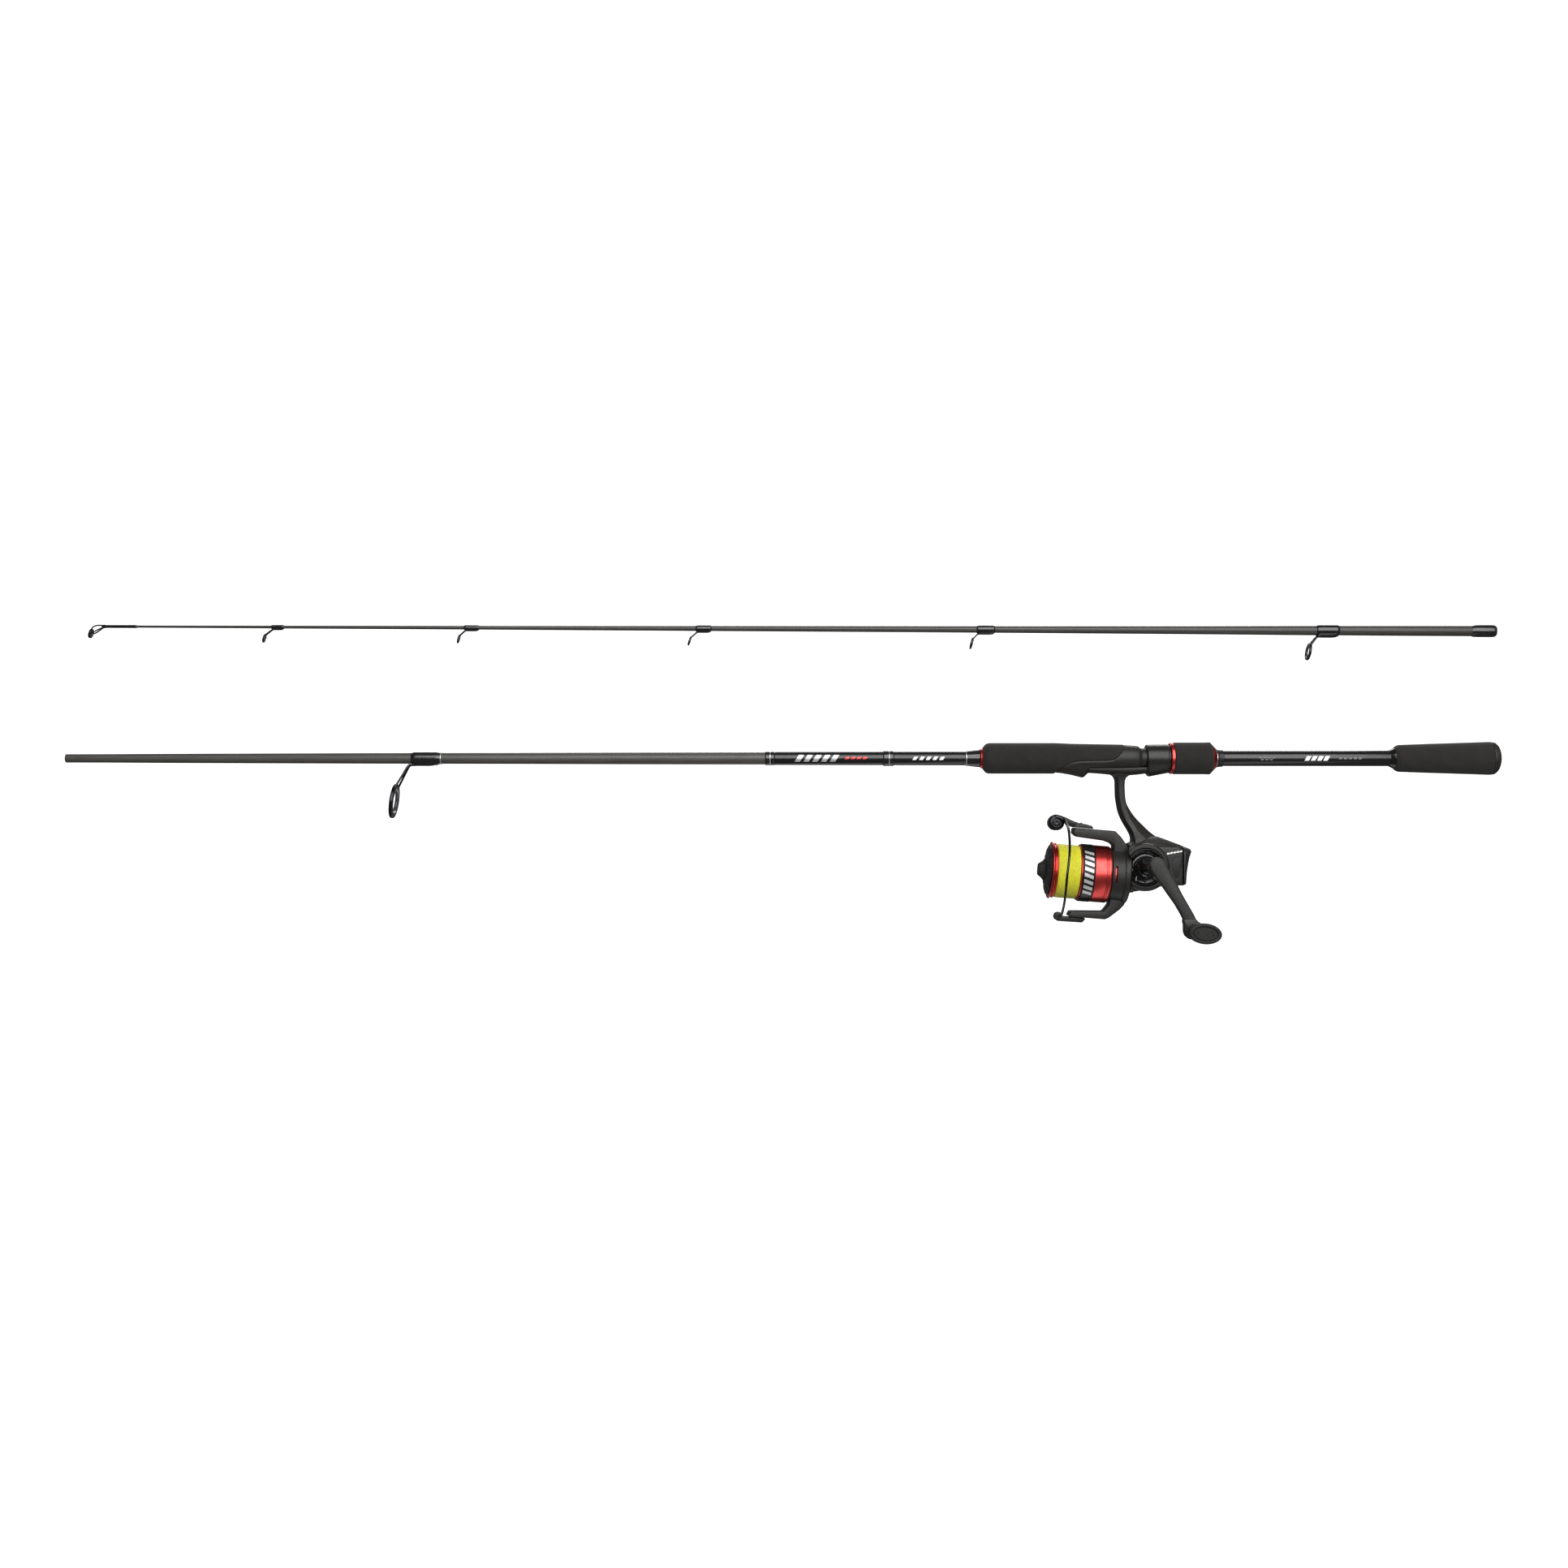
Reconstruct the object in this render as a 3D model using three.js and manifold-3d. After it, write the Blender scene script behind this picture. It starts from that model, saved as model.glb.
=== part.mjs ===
// Two-piece spinning rod with a fixed-spool reel clamped in its seat.
// Millimetres. +X runs along the rod towards its butt, +Z is up and the reel hangs below the rod.
// The origin is on the rod's axis, above the reel's stem, where the angler's hand closes round it.
// The tip section is stored beside the butt section, above it and parallel to it.
import * as THREE from 'three';
import { mergeVertices } from 'three/addons/utils/BufferGeometryUtils.js';
import Module from 'manifold-3d';

const wasm = await Module();
wasm.setup();

// ---------- driving dimensions ----------
const GAP = 0.3; // between neighbours that touch on the real rod
const BUTT_FRONT = -819.1; // front end of the butt section's spigot
const BUTT_REAR = 294.4; // flat end of the butt cap
const FERRULE_DEPTH = 80; // how far the tip section slides over the spigot
const TIP_MOUTH = { x: 292.2, z: 98.9, slope: 0.0034 }; // where the tip section is stored
const FORE_GRIP_RADIUS = 11.9;
const NUT_RADIUS = 12.2;
const SEAT_TUBE_RADIUS = 8;
const SLEEVE_BORE = 5.25; // of the grip, seat and checks, over the butt blank
const REAR_SLEEVE_BORE = 5.95; // of the check and grip behind the seat
const BARREL_RADIUS = 7;
const FOOT_TOP = -7.3; // flat top of the reel foot
const FOOT_HALF_WIDTH = 6.5;
const SPOOL_AXIS = { x: 5.7, z: -91.6, tilt: 0.0803 }; // a point on it at the rotor's back
const SPOOL_RADIUS = 22.1;
const LINE_RADIUS = 20.8;
const ROTOR_RADIUS = 20.2;
const ARM_REACH = 34.3; // outer face of the rotor's arms, from the spool axis
const BAIL_PIVOT = -34.8; // along the spool axis
const ROLLER = { along: -58, out: 36.8 }; // line roller, closed bail
const HANDLE_AXIS = { x: 16.5, z: -83 };
const KNOB_AXIS = { x: 45.5, z: -129 };
const MAIN_SHAFT_RADIUS = 2;
const PINION_TEETH = 6;
const DRIVE_TEETH = 31;
const BODY_HALF_WIDTH = 16;

// ---------- solids ----------
function solidOf(geometry) {
  const bare = geometry.clone();
  bare.deleteAttribute('normal');
  bare.deleteAttribute('uv');
  const merged = mergeVertices(bare, 1e-3);
  const corners = merged.index.array;
  const triVerts = [];
  for (let i = 0; i < corners.length; i += 3) {
    const [a, b, c] = [corners[i], corners[i + 1], corners[i + 2]];
    if (a !== b && b !== c && c !== a) triVerts.push(a, b, c);
  }
  return new wasm.Manifold(new wasm.Mesh({
    numProp: 3,
    vertProperties: new Float32Array(merged.attributes.position.array),
    triVerts: new Uint32Array(triVerts),
  }));
}

function geometryOf(solid) {
  const mesh = solid.getMesh();
  const geometry = new THREE.BufferGeometry();
  geometry.setAttribute('position', new THREE.Float32BufferAttribute(mesh.vertProperties, 3));
  geometry.setIndex(new THREE.Uint32BufferAttribute(mesh.triVerts, 1));
  geometry.computeVertexNormals();
  return geometry;
}

function join(...pieces) {
  return geometryOf(pieces.map(solidOf).reduce((whole, piece) => whole.add(piece)));
}

function cut(piece, ...tools) {
  return geometryOf(tools.map(solidOf).reduce((left, tool) => left.subtract(tool), solidOf(piece)));
}

function common(piece, other) {
  return geometryOf(solidOf(piece).intersect(solidOf(other)));
}

// Turned about the X axis from [x, radius] points; a profile that misses the axis closes on itself.
function turned(profile, sides) {
  const points = profile.map(([x, radius]) => new THREE.Vector2(radius, x));
  if (profile[0][1] > 0) points.push(points[0].clone());
  return new THREE.LatheGeometry(points, sides).rotateZ(-Math.PI / 2);
}

// Turned about the Y axis through (x, z) from [y, radius] points.
function turnedAcross(profile, sides, { x, z }) {
  const points = profile.map(([y, radius]) => new THREE.Vector2(radius, y));
  if (profile[0][1] > 0) points.push(points[0].clone());
  return new THREE.LatheGeometry(points, sides).translate(x, 0, z);
}

function rod(x0, x1, radius, sides) {
  return turned([[x0, 0], [x0, radius], [x1, radius], [x1, 0]], sides);
}

function sleeve(x0, x1, inner, outer, sides) {
  return turned([[x0, inner], [x0, outer], [x1, outer], [x1, inner]], sides);
}

function rodAcross(y0, y1, radius, sides, axis) {
  return turnedAcross([[y0, 0], [y0, radius], [y1, radius], [y1, 0]], sides, axis);
}

function sleeveAcross(y0, y1, inner, outer, sides, axis) {
  return turnedAcross([[y0, inner], [y0, outer], [y1, outer], [y1, inner]], sides, axis);
}

// A flat outline of [x, z] points, as thick as y0 to y1.
function plate(outline, y0, y1) {
  const shape = new THREE.Shape(outline.map(([x, z]) => new THREE.Vector2(x, z)));
  const slab = new THREE.ExtrudeGeometry(shape, { depth: y1 - y0, bevelEnabled: false });
  return slab.rotateX(Math.PI / 2).translate(0, y1, 0);
}

function block([x0, x1], [y0, y1], [z0, z1]) {
  const box = new THREE.BoxGeometry(x1 - x0, y1 - y0, z1 - z0);
  return box.translate((x0 + x1) / 2, (y0 + y1) / 2, (z0 + z1) / 2);
}

function polygon(radius, sides) {
  const shape = new THREE.Shape();
  for (let i = 0; i < sides; i += 1) {
    const angle = (2 * Math.PI * i) / sides;
    const point = [radius * Math.cos(angle), radius * Math.sin(angle)];
    if (i === 0) shape.moveTo(...point);
    else shape.lineTo(...point);
  }
  return shape;
}

function wire(points, radius, sides, steps) {
  const path = new THREE.CatmullRomCurve3(points.map((point) => new THREE.Vector3(...point)));
  return new THREE.ExtrudeGeometry(polygon(radius, sides), { steps, extrudePath: path });
}

// ---------- materials ----------
function finish(color, roughness, metalness) {
  return () => new THREE.MeshStandardMaterial({ color, roughness, metalness });
}

const carbon = finish(0x4a4744, 0.55, 0.1);
const epoxy = finish(0x0c0c0d, 0.12, 0);
const foam = finish(0x2b2a29, 0.95, 0);
const plastic = finish(0x262524, 0.6, 0);
const glossPlastic = finish(0x101011, 0.2, 0);
const redMetal = finish(0xb02026, 0.3, 0.8);
const darkMetal = finish(0x17181c, 0.35, 0.8);
const steel = finish(0xa8aaac, 0.3, 1);
const brass = finish(0xb08d4a, 0.35, 1);
const ceramic = finish(0x3c3e42, 0.15, 0);
const braid = finish(0xd6d522, 0.7, 0);
const felt = finish(0x5a4a3c, 0.9, 0);

function add(group, name, geometry, material) {
  const mesh = new THREE.Mesh(geometry, material());
  mesh.name = name;
  group.add(mesh);
}

// ---------- line guides ----------
// x is the ring's centre along the section and drop its distance below the axis. The foot runs from
// footFrom to footTo behind the ring, under the blank. The ring's lower side leans to the tip.
const BUTT_GUIDE = {
  x: -564.1, drop: 33.2, frame: 13.1, bore: 7.9, depth: 2.8, lean: 0.12,
  footFrom: 12, footTo: 34, blank: 4.05, leg: 1.1, sides: 24,
};
const TIP_GUIDES = [
  { x: -957.2, drop: 8.8, frame: 3.3, bore: 1.5, depth: 1.2, lean: 0.25,
    footFrom: 6.3, footTo: 15, blank: 0.95, leg: 0.5, sides: 12 },
  { x: -806.1, drop: 8.8, frame: 3.3, bore: 1.5, depth: 1.2, lean: 0.25,
    footFrom: 5, footTo: 15.5, blank: 1.23, leg: 0.5, sides: 12 },
  { x: -626.6, drop: 9.8, frame: 3.5, bore: 1.6, depth: 1.3, lean: 0.3,
    footFrom: 5.7, footTo: 16.5, blank: 1.8, leg: 0.55, sides: 12 },
  { x: -407.3, drop: 10.8, frame: 4.5, bore: 2.25, depth: 1.5, lean: 0.25,
    footFrom: 4.7, footTo: 17.5, blank: 2.4, leg: 0.6, sides: 16 },
  { x: -145.4, drop: 16.4, frame: 6.5, bore: 3.1, depth: 2, lean: 0.15,
    footFrom: 6.6, footTo: 23, blank: 3.5, leg: 0.8, sides: 20 },
];

function ringWall(guide) {
  return Math.max(0.8, guide.frame * 0.18);
}

function placeRing(geometry, guide) {
  return geometry.rotateY(guide.lean).translate(guide.x, 0, -guide.drop);
}

function guideFoot(guide, slack) {
  const width = guide.leg * 1.3 + slack;
  const top = -guide.blank - GAP;
  return block(
    [guide.x + guide.footFrom - guide.leg - slack, guide.x + guide.footTo + slack],
    [-width, width],
    [top - guide.leg * 1.6 - slack, top + slack],
  );
}

function guideFrame(guide) {
  const wall = ringWall(guide);
  const half = guide.depth / 2;
  const ring = placeRing(sleeve(-half, half, guide.frame - wall, guide.frame, guide.sides), guide);
  const heel = guide.x + guide.footFrom;
  const top = -guide.blank - GAP - guide.leg;
  const pieces = [ring, guideFoot(guide, 0)];
  const reach = guide.frame - wall / 2;
  for (const side of [-1, 1]) {
    const angle = side * 0.65;
    const up = reach * Math.cos(angle);
    const end = [
      guide.x + up * Math.sin(guide.lean),
      reach * Math.sin(angle),
      -guide.drop + up * Math.cos(guide.lean),
    ];
    const start = [heel, side * guide.leg * 0.6, top];
    const bend = start.map((value, i) => value + (end[i] - value) * 0.2);
    pieces.push(wire([start, bend, end], guide.leg, 5, 3));
  }
  return join(...pieces);
}

function guideRing(guide) {
  const outer = guide.frame - ringWall(guide) - GAP;
  const half = guide.depth * 0.6;
  const profile = [[-half, guide.bore + 0.5], [-half, outer], [half, outer], [half, guide.bore + 0.5],
    [0, guide.bore]];
  return placeRing(turned(profile, guide.sides), guide);
}

// ---------- tip section ----------
const TIP_BLANK = [
  [-1083, 0.5], [-1062, 0.5], [-1061.5, 0.74], [-980, 0.86], [-772, 1.28], [-564, 1.92],
  [-380, 2.38], [-229, 2.92], [-150, 3.41], [-78, 3.69], [0, 3.91],
];

function tipBlank() {
  const bore = [[0, 3.5], [-FERRULE_DEPTH - 1, 3.25], [-110, 2.2], [-400, 1.1], [-401, 0]];
  return turned([[-1083, 0], ...TIP_BLANK, ...bore], 12);
}

const TIP_TOP = { ringX: -1092, drop: 5.5, ringRadius: 3.6, lean: 0.25, tubeFrom: -1085, tubeTo: -1062.5 };

function tipTop() {
  const ringBack = TIP_TOP.ringX + 1;
  const tube = turned([[TIP_TOP.tubeFrom, 0], [TIP_TOP.tubeFrom, 1.15], [TIP_TOP.tubeTo, 1.15],
    [TIP_TOP.tubeTo, 0.8], [TIP_TOP.tubeFrom + 1.7, 0.8], [TIP_TOP.tubeFrom + 1.7, 0]], 12);
  const ring = sleeve(-0.7, 0.7, 2.7, TIP_TOP.ringRadius, 14)
    .rotateY(TIP_TOP.lean).translate(TIP_TOP.ringX, 0, -TIP_TOP.drop);
  const crown = wire([[-1083.6, 0, 0.5], [-1088, 0, -0.3], [ringBack - 0.2, 0, -2.3]], 0.55, 5, 2);
  const struts = [-1, 1].map((side) => wire(
    [[-1083.6, side * 0.6, -0.3], [-1087.5, side * 2.2, -2.6], [ringBack - 1, side * 3.1, -TIP_TOP.drop]],
    0.5, 5, 2));
  return join(tube, ring, crown, ...struts);
}

function tipTopRing() {
  return turned([[-0.8, 1.9], [-0.8, 2.4], [0.8, 2.4], [0.8, 1.9], [0, 1.5]], 14)
    .rotateY(TIP_TOP.lean).translate(TIP_TOP.ringX, 0, -TIP_TOP.drop);
}

function tipSection() {
  const group = new THREE.Group();
  group.position.set(TIP_MOUTH.x, 0, TIP_MOUTH.z);
  group.rotation.y = TIP_MOUTH.slope;
  add(group, 'tip_blank', tipBlank(), carbon);
  add(group, 'ferrule_wrap', sleeve(-18.3, -0.6, 4.25, 4.7, 12), epoxy);
  add(group, 'tip_top', tipTop(), darkMetal);
  add(group, 'tip_top_ring', tipTopRing(), ceramic);
  TIP_GUIDES.forEach((guide, i) => {
    add(group, `guide_frame_${i + 1}`, guideFrame(guide), darkMetal);
    add(group, `guide_ring_${i + 1}`, guideRing(guide), ceramic);
  });
  return group;
}

// ---------- butt section ----------
const HIDDEN_BLANK_RADIUS = 4.9; // under the grips and the seat
const HIDDEN_BLANK_REAR_RADIUS = 5.6; // under the rear grip
const TAPER_WRAP = { from: -120.5, to: -109.3 };
const GRIP_REAR = 287.4; // rear end of the rear grip
const BLANK_REAR = 287.2; // the blank's end, inside the rear grip

function buttBlank() {
  const outside = [
    [BUTT_FRONT, 3.1], [-782, 3.16], [-744.6, 3.38], [-680, 3.6], [-568, 4.01], [-467, 4.15],
    [-366, 4.48], [-281, 4.64], [-269.5, 4.66], [-268.2, 5.02], [-185, 5.14], [-175, 5.21],
    [-122.4, 5.27], [-122.2, HIDDEN_BLANK_RADIUS], [71.4, HIDDEN_BLANK_RADIUS], [71.6, 5.84],
    [208.9, 5.96], [209.1, HIDDEN_BLANK_REAR_RADIUS], [BLANK_REAR, HIDDEN_BLANK_REAR_RADIUS],
  ];
  const bore = [[BLANK_REAR, 4.3], [60, 3.9], [-300, 3.3], [BUTT_FRONT, 2.2]];
  return turned([...outside, ...bore], 16);
}

function buttGuideWrap() {
  const inner = BUTT_GUIDE.blank + GAP;
  const coat = turned([[-552, inner], [-552, 5.1], [-536, 5.2], [-527.5, 4.75], [-527.5, inner]], 16);
  return cut(coat, guideFoot(BUTT_GUIDE, GAP));
}

const SEAT_LINE = [ // the seam between the foam grip above and the seat below, seen from the side
  [-51.5, -13], [-49.2, -9.8], [-44.2, -6], [-37.9, -3.2], [-31.6, -2.2], [-11.4, -1.9],
  [-6.3, -0.9], [-2.5, 2.2], [0, 5.4], [1.9, 7.9], [3, 13],
];

function foreGrip() {
  const whole = turned([
    [-105.4, SLEEVE_BORE], [-105.4, 8.3], [-104, 10.4], [-102.4, 11.6], [-100.5, FORE_GRIP_RADIUS],
    [-50, FORE_GRIP_RADIUS], [-37, 11.4], [6, 10.6], [6, SLEEVE_BORE],
  ], 24);
  const below = plate([...SEAT_LINE, [20, 13], [20, -20], [-51.5, -20]], -15, 15);
  return cut(whole, rod(-52.3, 20, SEAT_TUBE_RADIUS + GAP, 20), below);
}

const BARREL_END = 71;
const FRONT_HOOD = [
  [-47.3, -11], [-37.9, -12.9], [-31.6, -14.5], [-29.3, -15.1], [-27.8, -14.5], [-24.7, -11.4],
  [-24.7, -4], [-46, -4],
];

function reelSeat() {
  const lowered = SEAT_LINE.map(([x, z]) => [x + GAP, z - GAP]);
  const shell = turned([[-51.2, SLEEVE_BORE], [-51.2, 10.6], [-48, 11.4], [-20, 11.2], [2, 10.4], [8.8, 10.1],
    [14.5, 9.5], [16.4, 7.9], [19.6, 7.8], [19.6, SLEEVE_BORE]], 24);
  const below = plate([...lowered, [25, 13], [25, -20], [-51.2, -20]], -15, 15);
  const hood = common(plate(FRONT_HOOD, -9, 9), rod(-60, 0, 15.6, 24));
  const tube = sleeve(-52, 2, SLEEVE_BORE, SEAT_TUBE_RADIUS, 20);
  const barrel = sleeve(1.5, BARREL_END, SLEEVE_BORE, BARREL_RADIUS, 20);
  const bed = block([-24.8, 40], [-15, 15], [-20, FOOT_TOP + GAP]);
  const pocket = block([-31.6, -20], [-FOOT_HALF_WIDTH - GAP, FOOT_HALF_WIDTH + GAP],
    [-11.8, FOOT_TOP + GAP]);
  const bore = rod(-60, 90, SLEEVE_BORE, 20);
  return cut(join(common(join(shell, hood), below), tube, barrel), bed, pocket, bore);
}

const HOOD_FROM = 20.2;
const HOOD_TO = 37.9;

function movingHood() {
  const ring = turned([[HOOD_FROM, 7.4], [HOOD_FROM, 10.7], [HOOD_TO, 10.9], [HOOD_TO, 7.4]], 24);
  const chin = plate([[HOOD_FROM, -12.4], [21.4, -13.9], [22.7, -14.2], [HOOD_TO, -11.2],
    [HOOD_TO, -4], [HOOD_FROM, -4]], -8.5, 8.5);
  const pocket = block([HOOD_FROM - 1, 28], [-FOOT_HALF_WIDTH - GAP, FOOT_HALF_WIDTH + GAP],
    [-11.7, -5]);
  return cut(join(ring, chin), rod(HOOD_FROM - 2, HOOD_TO + 2, 7.4, 20), pocket);
}

const NUT = { from: 38.5, to: 76.4, bore: 7.4, barrel: 9 };

function lockNut() {
  return turned([[NUT.from, NUT.bore], [NUT.from, NUT.barrel], [71.4, NUT.barrel],
    [71.4, NUT.bore]], 20);
}

function nutGrip() {
  const inner = NUT.barrel + GAP;
  return turned([[43.2, inner], [43.2, NUT_RADIUS - 0.2], [44, NUT_RADIUS], [66, NUT_RADIUS + 0.1],
    [69.5, NUT_RADIUS + 0.3], [71.6, 10.4], [71.6, inner]], 24);
}

function buttSection() {
  const group = new THREE.Group();
  add(group, 'butt_blank', buttBlank(), carbon);
  add(group, 'butt_guide_frame', guideFrame(BUTT_GUIDE), darkMetal);
  add(group, 'butt_guide_ring', guideRing(BUTT_GUIDE), ceramic);
  add(group, 'butt_guide_wrap', buttGuideWrap(), epoxy);
  add(group, 'grip_taper_wrap', turned([[TAPER_WRAP.from, SLEEVE_BORE], [TAPER_WRAP.from, 5.7],
    [TAPER_WRAP.to, 6.75], [TAPER_WRAP.to, SLEEVE_BORE]], 16), epoxy);
  add(group, 'front_winding_check', turned([[-109, SLEEVE_BORE], [-109, 6.8], [-105.7, 8.3],
    [-105.7, SLEEVE_BORE]], 20), redMetal);
  add(group, 'fore_grip', foreGrip(), foam);
  add(group, 'reel_seat', reelSeat(), plastic);
  add(group, 'moving_hood', movingHood(), plastic);
  add(group, 'lock_nut', lockNut(), plastic);
  add(group, 'lock_nut_grip', nutGrip(), foam);
  add(group, 'nut_front_ring', sleeve(NUT.from, 42.9, NUT.barrel + GAP, 11.5, 24), redMetal);
  add(group, 'nut_rear_ring', turned([[71.9, 6.2], [71.9, 10], [NUT.to, 7], [NUT.to, 6.2]], 20),
    redMetal);
  add(group, 'rear_winding_check', turned([[209.5, REAR_SLEEVE_BORE], [209.5, 6.3], [212.8, 8.2],
    [212.8, REAR_SLEEVE_BORE]], 20), glossPlastic);
  add(group, 'rear_grip', turned([[213.1, REAR_SLEEVE_BORE], [213.1, 8.3], [217.4, 10.4],
    [GRIP_REAR, 12.5], [GRIP_REAR, REAR_SLEEVE_BORE]], 24), foam);
  const capFace = GRIP_REAR + GAP;
  add(group, 'butt_cap', turned([[270, 0], [270, 3.9], [capFace, 3.9], [capFace, 12.4], [290.4, 12],
    [292.4, 9.8], [BUTT_REAR, 5], [BUTT_REAR, 0]], 24), plastic);
  return group;
}

// ---------- reel: fixed body ----------
const STEM = [ // outline of the leg between the foot and the gearbox
  [-8.2, -12.6], [-5, -15], [-3.8, -18], [-3.8, -31.9], [-1.9, -43.2], [3.2, -53.3], [8.4, -61.5],
  [8.6, -66], [8, -76], [30, -76], [44, -68.5], [30.3, -62.2], [18.9, -53.3], [9.5, -43.2],
  [5, -35], [3.8, -30], [3.8, -16.7], [6.3, -13.4],
];
const FOOT = [
  [-31, FOOT_TOP], [27, FOOT_TOP], [27, -9.3], [22, -11.3], [12, -12], [6.3, -14], [-8.2, -14],
  [-15.8, -12.3], [-24.6, -11.4], [-31, -9.7],
];
const HULL = [ // outline of the gearbox behind the boss
  [4, -72], [9, -66.5], [24, -60], [37.9, -65.3], [48, -69.5], [48, -99.2], [30, -99.2], [15, -101.6],
  [4, -101.6],
];
const CAVITY = [[12, -75], [20, -68.6], [45.5, -72], [45.5, -97.6], [30, -97.6], [17, -99.6], [12, -99.6]];
const BOSS_RADIUS = 17.4;
const COVER_INNER = -13; // the side cover's inner face
const NECK_RADIUS = 15.5; // stands inside the rotor's cup
const BEARING_SIDES = 16;

function onSpoolAxis(geometry) {
  return geometry.rotateY(SPOOL_AXIS.tilt).translate(SPOOL_AXIS.x, 0, SPOOL_AXIS.z);
}

function rotorSweep() {
  return onSpoolAxis(turned([[-60, 0], [-60, 37], [-12, 37], [-7.5, 31.5], [0.2, 22.5], [0.2, 0]], 24));
}

function reelBody() {
  const foot = plate(FOOT, -FOOT_HALF_WIDTH, FOOT_HALF_WIDTH);
  const stem = plate(STEM, -5.5, 5.5);
  const hull = plate(HULL, COVER_INNER + GAP, BODY_HALF_WIDTH);
  const boss = rodAcross(COVER_INNER + GAP, BODY_HALF_WIDTH + 1.5, BOSS_RADIUS, 24, HANDLE_AXIS);
  const neck = onSpoolAxis(join(rod(-10, -0.1, NECK_RADIUS, 24), rod(-1, 4, 12.5, 20)));
  const gearRoom = join(rodAcross(3, 9, FACE_GEAR.radius + 0.9, 20, HANDLE_AXIS),
    rodAcross(-20, 3.2, 9.6, 20, HANDLE_AXIS));
  const bearingSeat = rodAcross(0, 30, 7.4, BEARING_SIDES, HANDLE_AXIS);
  const backRoom = plate(CAVITY, -20, 12.5);
  const neckBores = onSpoolAxis(turned([[-12, 0], [-12, 10.8], [-6, 10.8], [-6, 7.9], [-2.4, 7.9],
    [-2.4, 5.2], [14, 5.2], [14, 0]], 20));
  const core = cut(join(hull, boss), rotorSweep());
  return cut(join(foot, stem, core, neck), gearRoom, bearingSeat, backRoom, neckBores);
}

function sideCover() {
  const sheet = plate(HULL, -BODY_HALF_WIDTH, COVER_INNER);
  const boss = rodAcross(-20, COVER_INNER, BOSS_RADIUS, 24, HANDLE_AXIS);
  const recess = sleeveAcross(-24, -17, 9.2, 12.8, 20, HANDLE_AXIS);
  const bore = rodAcross(-30, 0, 7.4, BEARING_SIDES, HANDLE_AXIS);
  return cut(join(sheet, boss), recess, bore, rotorSweep());
}

function rearCover() {
  return plate([[48.3, -69.5], [55.5, -72.9], [52.4, -81.7], [51.1, -87.4], [50.8, -95.6],
    [49, -99], [48.3, -99]], -BODY_HALF_WIDTH, BODY_HALF_WIDTH);
}

function bearing(x0, x1, inner, outer) {
  return sleeve(x0, x1, inner, outer, BEARING_SIDES);
}

// ---------- reel: gear train ----------
function toothed(root, tip, teeth) {
  const shape = new THREE.Shape();
  const step = (2 * Math.PI) / teeth;
  const flank = [[-0.32, root], [-0.16, tip], [0.16, tip], [0.32, root]];
  for (let i = 0; i < teeth; i += 1) {
    flank.forEach(([turn, radius], j) => {
      const angle = (i + turn) * step;
      const point = [radius * Math.cos(angle), radius * Math.sin(angle)];
      if (i === 0 && j === 0) shape.moveTo(...point);
      else shape.lineTo(...point);
    });
  }
  return shape;
}

function spurGear(root, tip, teeth, y0, y1, { x, z }) {
  const wheel = new THREE.ExtrudeGeometry(toothed(root, tip, teeth), {
    depth: y1 - y0, bevelEnabled: false });
  return wheel.rotateX(Math.PI / 2).translate(x, y1, z);
}

const FACE_GEAR = { from: 5.6, to: 8, radius: 11.6, toothInner: 9.5, toothRise: 1 };
const OSC_AXIS = { x: 31, z: -88 };
const OSC_TEETH = 20;
const OSC_DRIVER_TEETH = 17;
const CRANK_THROW = 7; // half of the spool's stroke
const CRANK_PIN_RADIUS = 1.2;

function driveGear() {
  const pieces = [
    rodAcross(FACE_GEAR.from, FACE_GEAR.to, FACE_GEAR.radius, DRIVE_TEETH, HANDLE_AXIS),
    rodAcross(-22.5, 19.5, 3.5, 12, HANDLE_AXIS),
    rodAcross(3.2, FACE_GEAR.from + 1, 6, 12, HANDLE_AXIS),
    spurGear(5.8, 7, OSC_DRIVER_TEETH, -9.8, -8.2, HANDLE_AXIS),
  ];
  for (let i = 0; i < DRIVE_TEETH; i += 1) {
    const tooth = block([FACE_GEAR.toothInner, FACE_GEAR.radius - 0.1],
      [FACE_GEAR.from - FACE_GEAR.toothRise, FACE_GEAR.from + 0.2], [-0.6, 0.6]);
    pieces.push(tooth.rotateY((2 * Math.PI * i) / DRIVE_TEETH)
      .translate(HANDLE_AXIS.x, 0, HANDLE_AXIS.z));
  }
  return join(...pieces);
}

function oscillationGear() {
  const wheel = spurGear(6.7, 7.9, OSC_TEETH, -9.8, -8.2, OSC_AXIS);
  const disc = rodAcross(-8.6, -7.2, CRANK_THROW + CRANK_PIN_RADIUS, 20, OSC_AXIS);
  const pin = rodAcross(-9, -4.6, CRANK_PIN_RADIUS, 8, { x: OSC_AXIS.x + CRANK_THROW, z: OSC_AXIS.z });
  return join(wheel, disc, pin);
}

function pinionGear() {
  const teeth = new THREE.ExtrudeGeometry(toothed(3, 4.1, PINION_TEETH), {
    depth: 13, bevelEnabled: false }).rotateY(Math.PI / 2).translate(-1.2, 0, 0);
  const barrel = rod(-17, 0, 3.7, 16);
  return cut(join(teeth, barrel), rod(-20, 25, 2.3, 12));
}

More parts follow.
